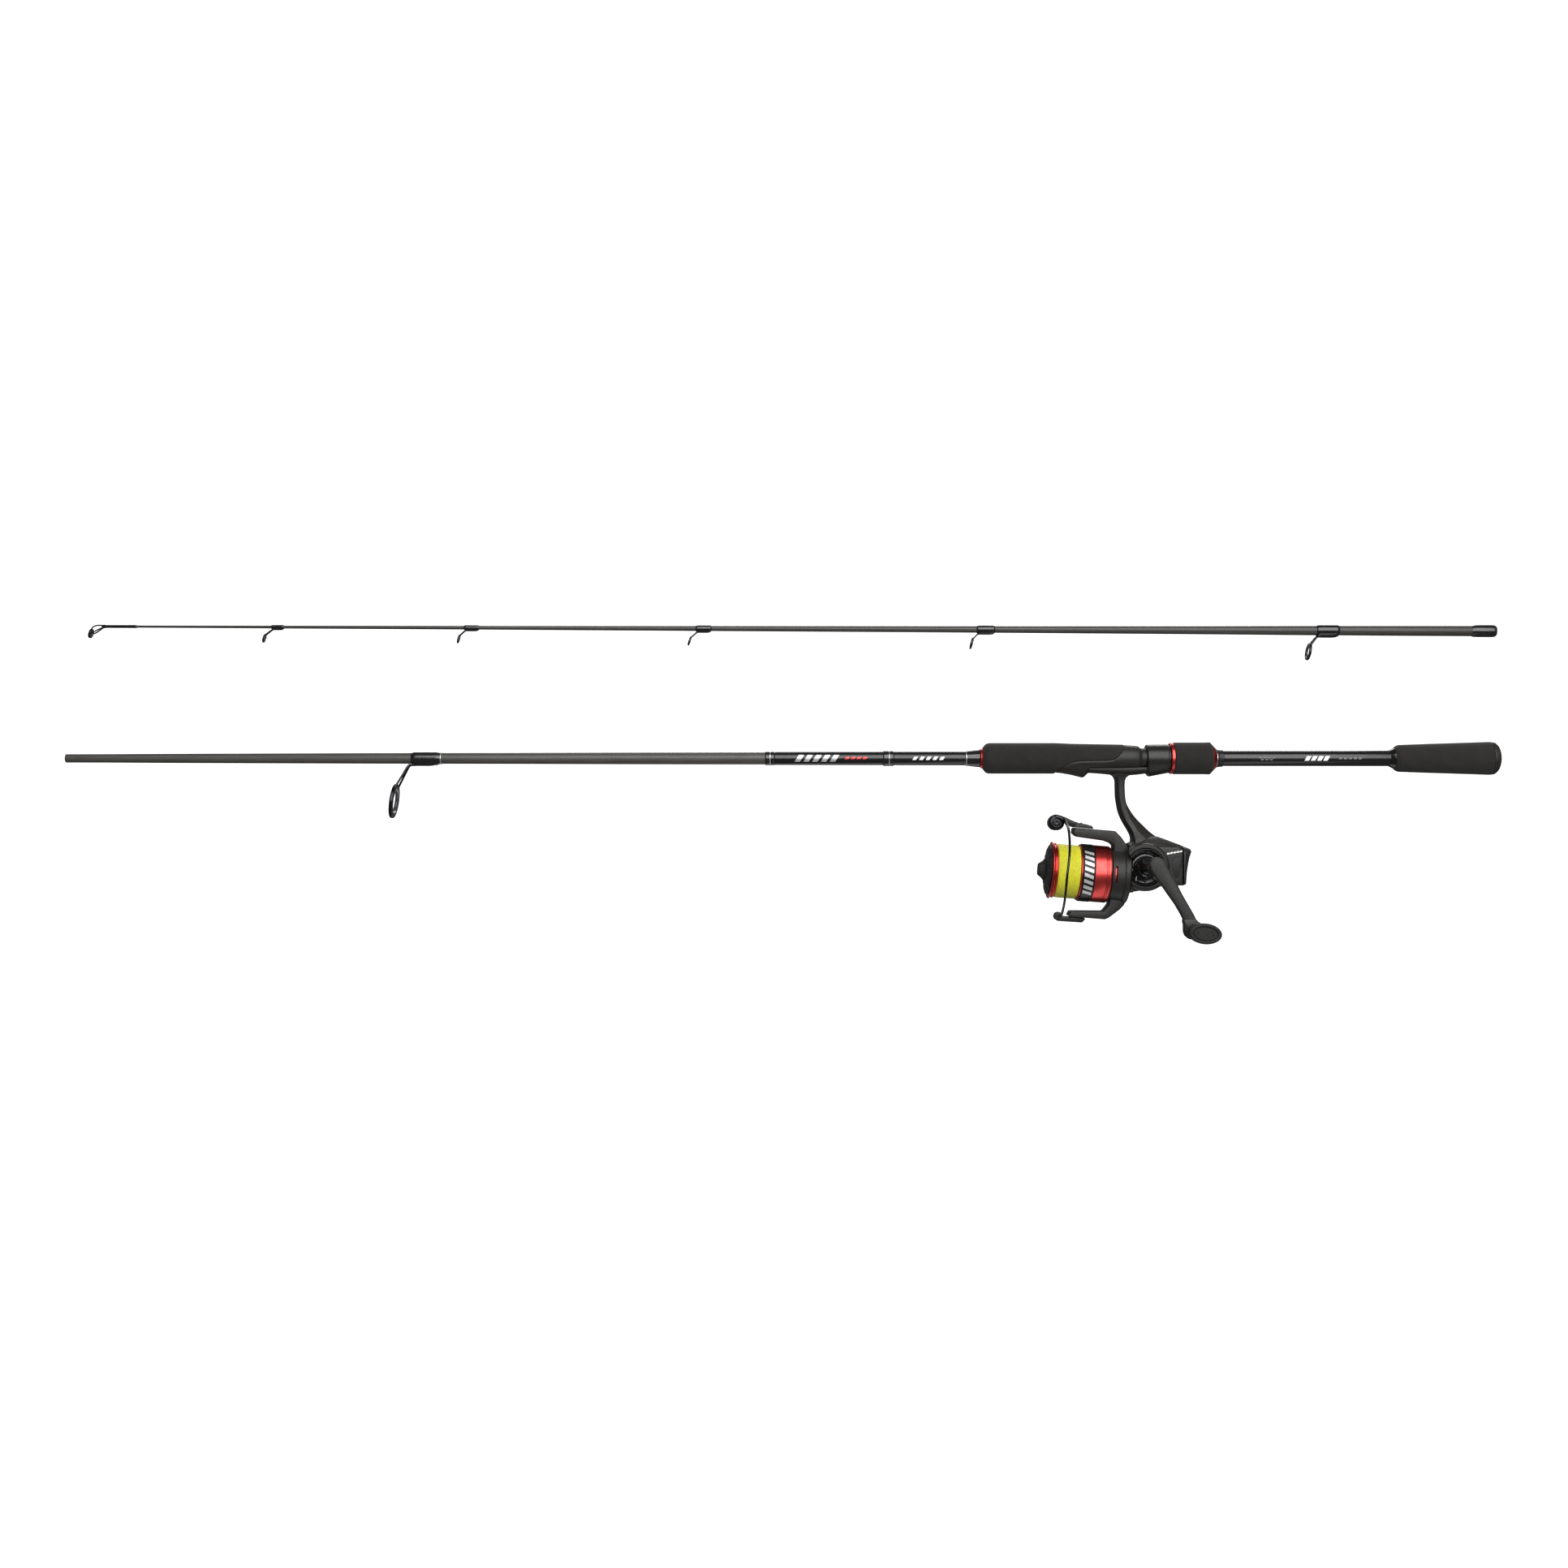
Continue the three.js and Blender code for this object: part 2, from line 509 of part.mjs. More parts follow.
// ---------- reel: rotor and bail ----------
const UPPER_ARM = [
  [-45.2, ARM_REACH], [-12.9, ARM_REACH], [-8.1, 30.1], [-0.5, 21], [-0.5, 16], [-13.3, 16],
  [-13.3, 22.9], [-15.6, 24.7], [-20.5, 26], [-42, 27.4], [-45.4, 29.7],
];
const LOWER_ARM = [
  [-44.4, -ARM_REACH - 0.2], [-15.6, -ARM_REACH - 0.2], [-12.6, -32.9], [-4.9, -26], [-2, -22.5],
  [-0.5, -18.5], [-0.5, -16], [-13.3, -16], [-13.3, -22.9], [-16, -27], [-17.4, -28.4],
  [-42.5, -30.2],
];
const ARM_HALF_WIDTH = 7.5;
const SPRING_BORE = { out: 31, radius: 2.4, from: -46, to: -33 };

function rotor() {
  const base = rod(-13.3, -0.5, ROTOR_RADIUS, 24);
  const arms = [UPPER_ARM, LOWER_ARM].map((outline) => plate(outline, -ARM_HALF_WIDTH, ARM_HALF_WIDTH));
  const neckRoom = rod(-10.6, 2, NECK_RADIUS + 0.7, 24);
  const hubBore = rod(-15, 0, 4, 16);
  const springBore = rod(SPRING_BORE.from, SPRING_BORE.to, SPRING_BORE.radius, 12)
    .translate(0, 0, SPRING_BORE.out);
  const window = block([-11.4, -8.9], [-25, -12], [-6, 8]);
  return cut(join(base, ...arms), neckRoom, hubBore, springBore, window);
}

function bailSpring() {
  const turns = 5;
  const perTurn = 6;
  const points = [];
  for (let i = 0; i <= turns * perTurn; i += 1) {
    const angle = (2 * Math.PI * i) / perTurn;
    const along = SPRING_BORE.from + 1.6 + (10.5 * i) / (turns * perTurn);
    points.push([along, 1.6 * Math.cos(angle), SPRING_BORE.out + 1.6 * Math.sin(angle)]);
  }
  return wire(points, 0.35, 4, turns * perTurn);
}

const LEVER_FACE = ARM_REACH + GAP;
const BAIL_ARM = [
  [-29.8, LEVER_FACE], [-31.5, 36.8], [-34, 37.7], [-40.5, 38.2], [-45.6, 39.5], [-53.4, 41.8],
  [-57.9, 42.7], [-57, 38], [-53.1, 38.3], [-45.9, LEVER_FACE],
];

function bailArm() {
  const eyeAxis = { x: ROLLER.along, z: ROLLER.out };
  const lever = plate(BAIL_ARM, -1, 4.5);
  const pad = plate([[-29.8, LEVER_FACE], [-31.5, 36.8], [-40, 37.9], [-43, 37.9], [-45.5, LEVER_FACE]],
    -6.5, 6.5);
  const eye = rodAcross(1.9, 4.6, 6, 16, eyeAxis);
  const rollerRoom = rodAcross(-8, 1.9, 6.4, 16, eyeAxis);
  const pinHole = rodAcross(0, 10, 1.9, 12, eyeAxis);
  return cut(join(lever, pad, eye), rollerRoom, pinHole);
}

function lineRoller() {
  return turnedAcross([[-1.4, 1.95], [-1.4, 3.9], [0, 3.3], [1.5, 3.9], [1.5, 1.95]], 16,
    { x: ROLLER.along, z: ROLLER.out });
}

const BAIL_BOW = [ // centre line of the bow, from the roller cap to the holder
  [-55.6, -3.4, 39.2], [-52.6, -6.5, 38.6], [-51.5, -13, 35.8], [-51.4, -22, 31.5], [-52, -35, 22],
  [-53, -44, 12], [-54, -47.4, -1], [-53.5, -43.5, -14], [-52.2, -32, -24.6], [-50.6, -14, -32.8],
  [-50.2, -2, -34.6],
];

function bailWire() {
  const eyeAxis = { x: ROLLER.along, z: ROLLER.out };
  const cap = turnedAcross([[-5, 0], [-5, 4.6], [-4.2, 5.7], [-1.8, 5.7], [-1.8, 0]], 16, eyeAxis);
  const pin = rodAcross(-3, 4.2, 1.6, 10, eyeAxis);
  return join(cap, pin, wire(BAIL_BOW, 0.9, 6, 26));
}

const HOLDER_FACE = -ARM_REACH - 0.2 - GAP;

function bailHolder() {
  const lever = plate([[-29.4, HOLDER_FACE], [-32.4, -38.6], [-51.3, -38.8], [-53.6, -37.5],
    [-54.4, -35.2], [-53.3, -32.6], [-51, -31.8], [-48.6, -32.4], [-47.8, HOLDER_FACE]], -3.5, 3.5);
  return cut(lever, wire(BAIL_BOW, 0.9 + GAP, 6, 26));
}

// ---------- reel: spool ----------
function spool() {
  return turned([
    [-52, 2.6], [-52, 10.4], [-60, 10.4], [-60, 19.8], [-56.3, 19.8], [-56, 14], [-38.3, 14],
    [-38.3, 21.5], [-37, 21.5], [-36.9, 20.9], [-27.1, 20.9], [-27, SPOOL_RADIUS],
    [-15.8, SPOOL_RADIUS], [-15.6, SPOOL_RADIUS - 0.4], [-13.8, SPOOL_RADIUS - 0.4], [-13.8, 20.7],
    [-26.5, 20.7], [-27.6, 19.4], [-35.2, 19.4], [-35.2, 6.5], [-33, 6.5], [-33, 2.6],
  ], 24);
}

function spoolLip() {
  return turned([[-60.2, 20.1], [-60.2, 21.7], [-59.4, SPOOL_RADIUS], [-58.2, 21.3], [-56.3, 20.9],
    [-56.3, 20.1]], 24);
}

function dragKnob() {
  const cap = turned([[-60.3, 3], [-60.3, 4.2], [-57.8, 4.2], [-57.8, 9.6], [-60.4, 9.6],
    [-60.4, 19.4], [-62.4, 18.4], [-63.6, 13], [-64, 8], [-64, 3]].reverse(), 24);
  const grip = new THREE.CylinderGeometry(2.6, 5.4, 6.6, 6).scale(1, 1, 1.7).rotateZ(Math.PI / 2)
    .translate(-66.6, 0, 0);
  return cut(join(cap, grip, rod(-64.2, -62.5, 5, 12)), rod(-70, -50, 2.3, 12)
    .translate(2.6, 0, 0));
}

function mainShaft() {
  return rod(-66, 36, MAIN_SHAFT_RADIUS, 12);
}

function slider() {
  const post = block([28.4, 35.4], [-4.4, -2.4], [-3, 15.2]);
  const clamp = block([28.4, 35.4], [-3, 4], [-3, 4]);
  const slot = block([30.4, 33.4], [-5, -2.6], [-4, 14]);
  return cut(join(post, clamp), rod(20, 44, MAIN_SHAFT_RADIUS + GAP, 12), slot);
}

// ---------- reel: handle ----------
const ARM_INNER = -56;
const ARM_OUTER = -62;

function handleArm() {
  const hub = rodAcross(ARM_OUTER - 1.5, ARM_INNER + 1, 7, 20, HANDLE_AXIS);
  const neck = turnedAcross([[ARM_INNER - 1, 0], [ARM_INNER - 1, 6.4], [-40, 5.6], [-23, 5.6],
    [-23, 0]], 16, HANDLE_AXIS);
  const eye = rodAcross(ARM_OUTER - 1.5, ARM_INNER + 0.5, 5.6, 16, KNOB_AXIS);
  const blade = plate([[22.8, -80.8], [24.4, -90], [37, -110], [50.5, -127], [41.4, -132.8],
    [27, -112], [17.5, -96], [10.4, -86.4]], ARM_OUTER, ARM_INNER);
  const hole = rodAcross(-80, -30, 2.3, 12, KNOB_AXIS);
  return cut(join(hub, neck, eye, blade), hole);
}

const KNOB_FROM = -64.4;
const KNOB_TO = -92;

function handleKnob() {
  const layers = [[KNOB_FROM, 5.4, 5.2], [-70, 5.6, 5.4], [-80, 9.6, 6.4], [-89, 11.8, 7.3],
    [-91.4, 11.2, 6.9], [KNOB_TO, 9.6, 5.9]];
  const around = 20;
  const points = layers.map(([y, wide]) => new THREE.Vector2(wide, y));
  const knob = new THREE.LatheGeometry([new THREE.Vector2(0, KNOB_TO), ...points.reverse(),
    new THREE.Vector2(0, KNOB_FROM)], around);
  const position = knob.attributes.position;
  for (let i = 0; i < position.count; i += 1) {
    const layer = layers.find(([y]) => Math.abs(y - position.getY(i)) < 0.01);
    position.setZ(i, (position.getZ(i) * layer[2]) / layer[1]);
  }
  knob.rotateY(0.09).translate(KNOB_AXIS.x, 0, KNOB_AXIS.z);
  const bore = rodAcross(-89, -50, 2.3, 12, KNOB_AXIS);
  const plateRoom = ellipseAcross(KNOB_TO - 1, -90.6, 8.4, 4.9);
  return cut(knob, bore, plateRoom);
}

function ellipseAcross(y0, y1, wide, high) {
  return rodAcross(y0, y1, wide, 20, { x: 0, z: 0 }).scale(1, 1, high / wide).rotateY(0.09)
    .translate(KNOB_AXIS.x, 0, KNOB_AXIS.z);
}

function spinningReel() {
  const group = new THREE.Group();
  const onAxis = new THREE.Group();
  onAxis.position.set(SPOOL_AXIS.x, 0, SPOOL_AXIS.z);
  onAxis.rotation.y = SPOOL_AXIS.tilt;
  group.add(onAxis);

  add(group, 'reel_body', reelBody(), plastic);
  add(group, 'side_cover', sideCover(), glossPlastic);
  add(group, 'rear_cover', rearCover(), plastic);
  add(group, 'drive_gear', driveGear(), brass);
  add(group, 'oscillation_gear', oscillationGear(), brass);
  add(group, 'drive_bearing_left', sleeveAcross(-19, -14, 3.8, 7.1, BEARING_SIDES, HANDLE_AXIS), steel);
  add(group, 'drive_bearing_right', sleeveAcross(12.9, 17, 3.8, 7.1, BEARING_SIDES, HANDLE_AXIS),
    steel);
  add(group, 'handle_arm', handleArm(), plastic);
  add(group, 'handle_screw_cap', turnedAcross([[19.8, 0], [19.8, 8.5], [24.5, 7.8], [25.5, 6],
    [25.5, 0]], 20, HANDLE_AXIS), plastic);
  add(group, 'knob_spindle', rodAcross(-88.6, -57, 2, 12, KNOB_AXIS), steel);
  add(group, 'handle_knob', handleKnob(), plastic);
  add(group, 'knob_cap', ellipseAcross(-91.9, -90.9, 8.1, 4.6), plastic);

  add(onAxis, 'pinion_gear', pinionGear(), brass);
  add(onAxis, 'pinion_bearing', bearing(-5.7, -2.7, 4, 7.6), steel);
  add(onAxis, 'one_way_clutch', bearing(-9.7, -6.3, 4, 10.5), steel);
  add(onAxis, 'main_shaft', mainShaft(), steel);
  add(onAxis, 'oscillation_slider', slider(), brass);
  add(onAxis, 'rotor', rotor(), plastic);
  add(onAxis, 'rotor_nut', cut(rod(-16.4, -13.6, 6.2, 6), rod(-17, -13, 4, 16)), steel);
  add(onAxis, 'bail_arm', bailArm(), plastic);
  add(onAxis, 'line_roller', lineRoller(), steel);
  add(onAxis, 'bail_wire', bailWire(), darkMetal);
  add(onAxis, 'bail_holder', bailHolder(), plastic);
  add(onAxis, 'bail_spring', bailSpring(), steel);
  add(onAxis, 'spool', spool(), redMetal);
  add(onAxis, 'spool_lip', spoolLip(), redMetal);
  add(onAxis, 'spool_band', sleeve(-36.6, -27.4, 21.2, 22.4, 24), plastic);
  add(onAxis, 'line_winding', sleeve(-55.5, -38.7, 14.3, LINE_RADIUS, 24), braid);
  add(onAxis, 'drag_washers', turned([[-57.2, 2.6], [-57.2, 9.8], [-52.3, 9.8], [-52.3, 2.6]], 20),
    felt);
  add(onAxis, 'drag_knob', dragKnob(), plastic);
  return group;
}

const rodAndReel = new THREE.Group();
rodAndReel.add(buttSection(), tipSection(), spinningReel());
export default rodAndReel;
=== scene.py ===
import math

import bmesh
import bpy
from mathutils import Matrix, Vector


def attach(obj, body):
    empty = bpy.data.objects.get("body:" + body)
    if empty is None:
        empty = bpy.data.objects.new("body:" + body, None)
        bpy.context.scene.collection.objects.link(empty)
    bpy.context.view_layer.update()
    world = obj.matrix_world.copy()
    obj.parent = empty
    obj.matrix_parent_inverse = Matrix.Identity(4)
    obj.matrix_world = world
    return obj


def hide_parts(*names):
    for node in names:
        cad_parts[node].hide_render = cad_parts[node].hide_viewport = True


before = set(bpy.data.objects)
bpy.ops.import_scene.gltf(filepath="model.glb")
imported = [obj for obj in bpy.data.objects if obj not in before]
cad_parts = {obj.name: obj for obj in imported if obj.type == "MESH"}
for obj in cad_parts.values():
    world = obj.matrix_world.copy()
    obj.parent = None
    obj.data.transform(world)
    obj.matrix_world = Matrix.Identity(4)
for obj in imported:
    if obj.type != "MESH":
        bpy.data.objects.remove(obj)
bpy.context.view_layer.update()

# Sizes are in millimetres and angles in radians. A piece is built about its own local X axis, which
# turned pieces turn about, and is then placed in the frame that the whole object shares.
MM = 0.001
TURN = 2 * math.pi
DOWN = 1.5 * math.pi  # angle of the underside, from +Y round through +Z
TINY = 1e-6  # less than this is nothing
END_RINGS = [math.radians(a) for a in (80, 55, 28)]  # the rings of a bar's rounded end


# ---------- places ----------
def place_at(x, y, z, tilt=0.0):
    return Matrix.Translation((x, y, z)) @ Matrix.Rotation(tilt, 4, "Y")


ROD = Matrix.Identity(4)
TIP = place_at(292.2, 0, 98.9, 0.0034)
SPOOL = place_at(5.7, 0, -91.6, 0.0803)
ACROSS = Matrix.Rotation(math.pi / 2, 4, "Z")  # local X becomes +Y
BACKWARD = Matrix.Rotation(-math.pi / 2, 4, "Z")  # local X becomes -Y
KNOB_AXIS = (45.5, 0, -129)
HANDLE = place_at(16.5, 0, -83) @ ACROSS
BOSS = place_at(16.6, 0, -83.8) @ ACROSS
KNOB = place_at(*KNOB_AXIS, 0.09) @ ACROSS
ROLLER = SPOOL @ place_at(-58, 0, 36.8) @ ACROSS


# ---------- curves ----------
def spline(points, steps):
    """A smooth line through points, steps pieces between each two."""
    points = [Vector(p) for p in points]
    ends = [2 * points[0] - points[1], *points, 2 * points[-1] - points[-2]]
    line = []
    for a, b, c, d in zip(ends, ends[1:], ends[2:], ends[3:]):
        for i in range(steps):
            t = i / steps
            line.append(0.5 * (2 * b + (c - a) * t + (2 * a - 5 * b + 4 * c - d) * t * t
                               + (3 * b - a - 3 * c + d) * t ** 3))
    return [*line, points[-1]]


def rounded(points, radius, steps=4, closed=True):
    """Flat points with their corners rounded by a short curve."""
    points = [Vector(p) for p in points]
    out = []
    for i, p in enumerate(points):
        if not closed and i in (0, len(points) - 1):
            out.append(p)
            continue
        a, b = points[i - 1] - p, points[(i + 1) % len(points)] - p
        angle = a.angle(b)
        if angle > math.radians(172):
            out.append(p)
            continue
        reach = min(radius / math.tan(angle / 2), 0.45 * a.length, 0.45 * b.length)
        start, end = p + a.normalized() * reach, p + b.normalized() * reach
        for k in range(steps + 1):
            t = k / steps
            out.append(start * (1 - t) ** 2 + p * 2 * t * (1 - t) + end * t * t)
    return out


def curve_at(table, x):
    """Value at x on the straight lines through (x, value) rows."""
    if x <= table[0][0]:
        return table[0][1]
    for (x0, y0), (x1, y1) in zip(table, table[1:]):
        if x <= x1:
            t = (x - x0) / (x1 - x0)
            return y0 + (y1 - y0) * t
    return table[-1][1]


def smooth_at(table, x, reach=1.2):
    """curve_at, averaged over a short stretch, so that its corners are soft."""
    offsets = [-1, -0.5, 0, 0.5, 1]
    return sum(curve_at(table, x + reach * o) for o in offsets) / len(offsets)


def stretch(start, end, count):
    return [start + (end - start) * i / count for i in range(count + 1)]


# ---------- shapes: (vertices, faces) ----------
def round_point(x, radius, angle):
    """The point at x and radius whose angle from +Y, round through +Z, is angle."""
    return Vector((x, radius * math.cos(angle), radius * math.sin(angle)))


def circle(x, radius, sides):
    return [round_point(x, radius, TURN * j / sides) for j in range(sides)]


def ellipse(x, wide, high, sides=48, power=1.0):
    """A loop at x, wide along Y and high along Z. A power under 1 squares it."""
    def bent(value):
        return math.copysign(abs(value) ** power, value)
    return [Vector((x, wide * bent(math.cos(TURN * j / sides)), high * bent(math.sin(TURN * j / sides))))
            for j in range(sides)]


def loft(loops, closed=False):
    """Skin over loops of equally many points. Its ends are flat, or joined if closed."""
    count = len(loops[0])
    verts = [p for loop in loops for p in loop]
    faces = []
    rows = len(loops)
    for i in range(rows if closed else rows - 1):
        a, b = i * count, ((i + 1) % rows) * count
        for j in range(count):
            k = (j + 1) % count
            faces.append((a + j, a + k, b + k, b + j))
    if not closed:
        faces.append(tuple(reversed(range(count))))
        faces.append(tuple(range((rows - 1) * count, rows * count)))
    return verts, faces


def lathe(profile, sides=72, corner=0.25, steps=3):
    """Turned about X from (x, radius) points. A profile that misses the axis closes on itself."""
    on_axis = profile[0][1] == 0
    verts, faces, rings = [], [], []
    for x, radius in rounded(profile, corner, steps, closed=not on_axis):
        ring = circle(x, radius, sides) if radius >= TINY else [Vector((x, 0, 0))]
        rings.append(range(len(verts), len(verts) + len(ring)))
        verts += ring
    pairs = list(zip(rings, rings[1:])) + ([] if on_axis else [(rings[-1], rings[0])])
    for a, b in pairs:
        for j in range(sides):
            k = (j + 1) % sides
            if len(a) == 1:
                faces.append((a[0], b[k], b[j]))
            elif len(b) == 1:
                faces.append((a[j], a[k], b[0]))
            else:
                faces.append((a[j], a[k], b[k], b[j]))
    return verts, faces


def bar_end(station, way):
    """Rings that round off the end of a bar, from its tip inwards."""
    centre, ahead, side, size = station
    return [(centre + ahead * size * math.sin(a) * way, ahead, side, size * math.cos(a)) for a in END_RINGS]


def tube(points, radius, sides=14, steps=6):
    """A round bar along a smooth line, with rounded ends. radius is one number or one for each point."""
    radii = radius if isinstance(radius, list) else [radius] * len(points)
    line = spline([(*p, r) for p, r in zip(points, radii)], steps)
    centres = [p.to_3d() for p in line]
    last = len(line) - 1
    aheads = [(centres[min(i + 1, last)] - centres[max(i - 1, 0)]).normalized() for i in range(last + 1)]
    side = aheads[0].orthogonal().normalized()
    stations = []
    for centre, ahead, row in zip(centres, aheads, line):
        side = (side - ahead * side.dot(ahead)).normalized()
        stations.append((centre, ahead, side, row[3]))
    loops = []
    for centre, ahead, side, size in [*bar_end(stations[0], -1), *stations,
                                      *reversed(bar_end(stations[-1], 1))]:
        up = ahead.cross(side)
        loops.append([centre + (side * math.cos(a) + up * math.sin(a)) * size
                      for a in (TURN * j / sides for j in range(sides))])
    return loft(loops)


def slab(outline, y0, y1, rim=0.8, corner=1.0, steps=3, corner_steps=4):
    """A flat outline of (x, z) points, y0 to y1 thick, with its rims rounded unless rim is 0."""
    line = rounded(outline, corner, corner_steps)
    if not rim:
        return loft([[Vector((x, y, z)) for x, z in line] for y in (y0, y1)])
    mesh = bmesh.new()
    face = mesh.faces.new([mesh.verts.new((x, y0, z)) for x, z in line])
    grown = bmesh.ops.extrude_face_region(mesh, geom=[face])["geom"]
    bmesh.ops.translate(mesh, vec=(0, y1 - y0, 0),
                        verts=[v for v in grown if isinstance(v, bmesh.types.BMVert)])
    edges = [e for e in mesh.edges if abs(e.verts[0].co.y - e.verts[1].co.y) < TINY]
    bmesh.ops.bevel(mesh, geom=edges, offset=rim, segments=steps, profile=0.5, affect="EDGES",
                    clamp_overlap=True)
    bmesh.ops.recalc_face_normals(mesh, faces=mesh.faces)
    mesh.verts.index_update()
    made = [v.co.copy() for v in mesh.verts], [tuple(v.index for v in f.verts) for f in mesh.faces]
    mesh.free()
    return made


def below(angle, spread, power):
    """1 straight below, easing off to 0 at spread either side of it."""
    off = min(abs(angle - DOWN), spread)
    return math.cos(off / spread * math.pi / 2) ** power


def hanging_loop(x, radius, drop, spread, power, sides):
    """A circle at x whose underside hangs lower by drop."""
    return [Vector((x, radius * math.cos(a), radius * math.sin(a) - drop * below(a, spread, power)))
            for a in (TURN * j / sides for j in range(sides))]


def moved(shape, matrix):
    return [matrix @ v for v in shape[0]], shape[1]


def merge(*shapes):
    verts, faces = [], []
    for more_verts, more_faces in shapes:
        start = len(verts)
        verts += more_verts
        faces += [tuple(start + i for i in face) for face in more_faces]
    return verts, faces


# ---------- pieces ----------
def bare(name, shape, place=ROD):
    """A mesh object in metres with its normals outward."""
    mesh = bpy.data.meshes.new(name)
    mesh.from_pydata([v * MM for v in shape[0]], [], shape[1])
    work = bmesh.new()
    work.from_mesh(mesh)
    bmesh.ops.recalc_face_normals(work, faces=work.faces)
    work.to_mesh(mesh)
    work.free()
    item = bpy.data.objects.new(name, mesh)
    bpy.context.scene.collection.objects.link(item)
    spot = place.copy()
    spot.translation = place.translation * MM
    item.matrix_world = spot
    return item


def bake(item):
    """Applies the item's modifiers."""
    bpy.context.view_layer.update()
    graph = bpy.context.evaluated_depsgraph_get()
    mesh = bpy.data.meshes.new_from_object(item.evaluated_get(graph))
    old = item.data
    item.modifiers.clear()
    item.data = mesh
    bpy.data.meshes.remove(old)


def combine(item, tools, operation):
    """Joins solids to the item or cuts them out of it, and removes them."""
    for tool in tools:
        modifier = item.modifiers.new("combine", "BOOLEAN")
        modifier.operation = operation
        modifier.solver = "EXACT"
        modifier.object = tool
    bake(item)
    for tool in tools:
        mesh = tool.data
        bpy.data.objects.remove(tool)
        bpy.data.meshes.remove(mesh)


def soften(item, width, segments, angle):
    """Rounds the edges whose faces meet at more than angle degrees."""
    modifier = item.modifiers.new("soften", "BEVEL")
    modifier.width = width * MM
    modifier.segments = segments
    modifier.limit_method = "ANGLE"
    modifier.angle_limit = math.radians(angle)
    modifier.use_clamp_overlap = True
    bake(item)


def round_cutter(start, end, radius, place, sides=32, corner=0.25):
    """A plain round bar along X, to cut a hole with."""
    bar = lathe([(start, 0), (start, radius), (end, radius), (end, 0)], sides, corner)
    return bare("cutter", bar, place)


def piece(name, shape, body, look, replaces=(), place=ROD, angle=32, soft=None, joins=(), cuts=()):
    """A finished piece: its edges softened, solids joined on and cut out, riding on its body."""
    item = bare(name, shape, place)
    if soft:
        soften(item, *soft)
    if joins:
        combine(item, joins, "UNION")
    if cuts:
        combine(item, cuts, "DIFFERENCE")
    mesh = item.data
    mesh.materials.clear()
    mesh.materials.append(look.material)
    for polygon in mesh.polygons:
        polygon.use_smooth = True
    mesh.set_sharp_from_angle(angle=math.radians(angle))
    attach(item, body)
    if replaces:
        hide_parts(*replaces)


def turned(name, profile, look, body="rod", replaces=(), place=ROD, sides=72, corner=0.3, steps=3):
    """A piece turned about X."""
    piece(name, lathe(profile, sides, corner, steps), body, look, replaces, place)


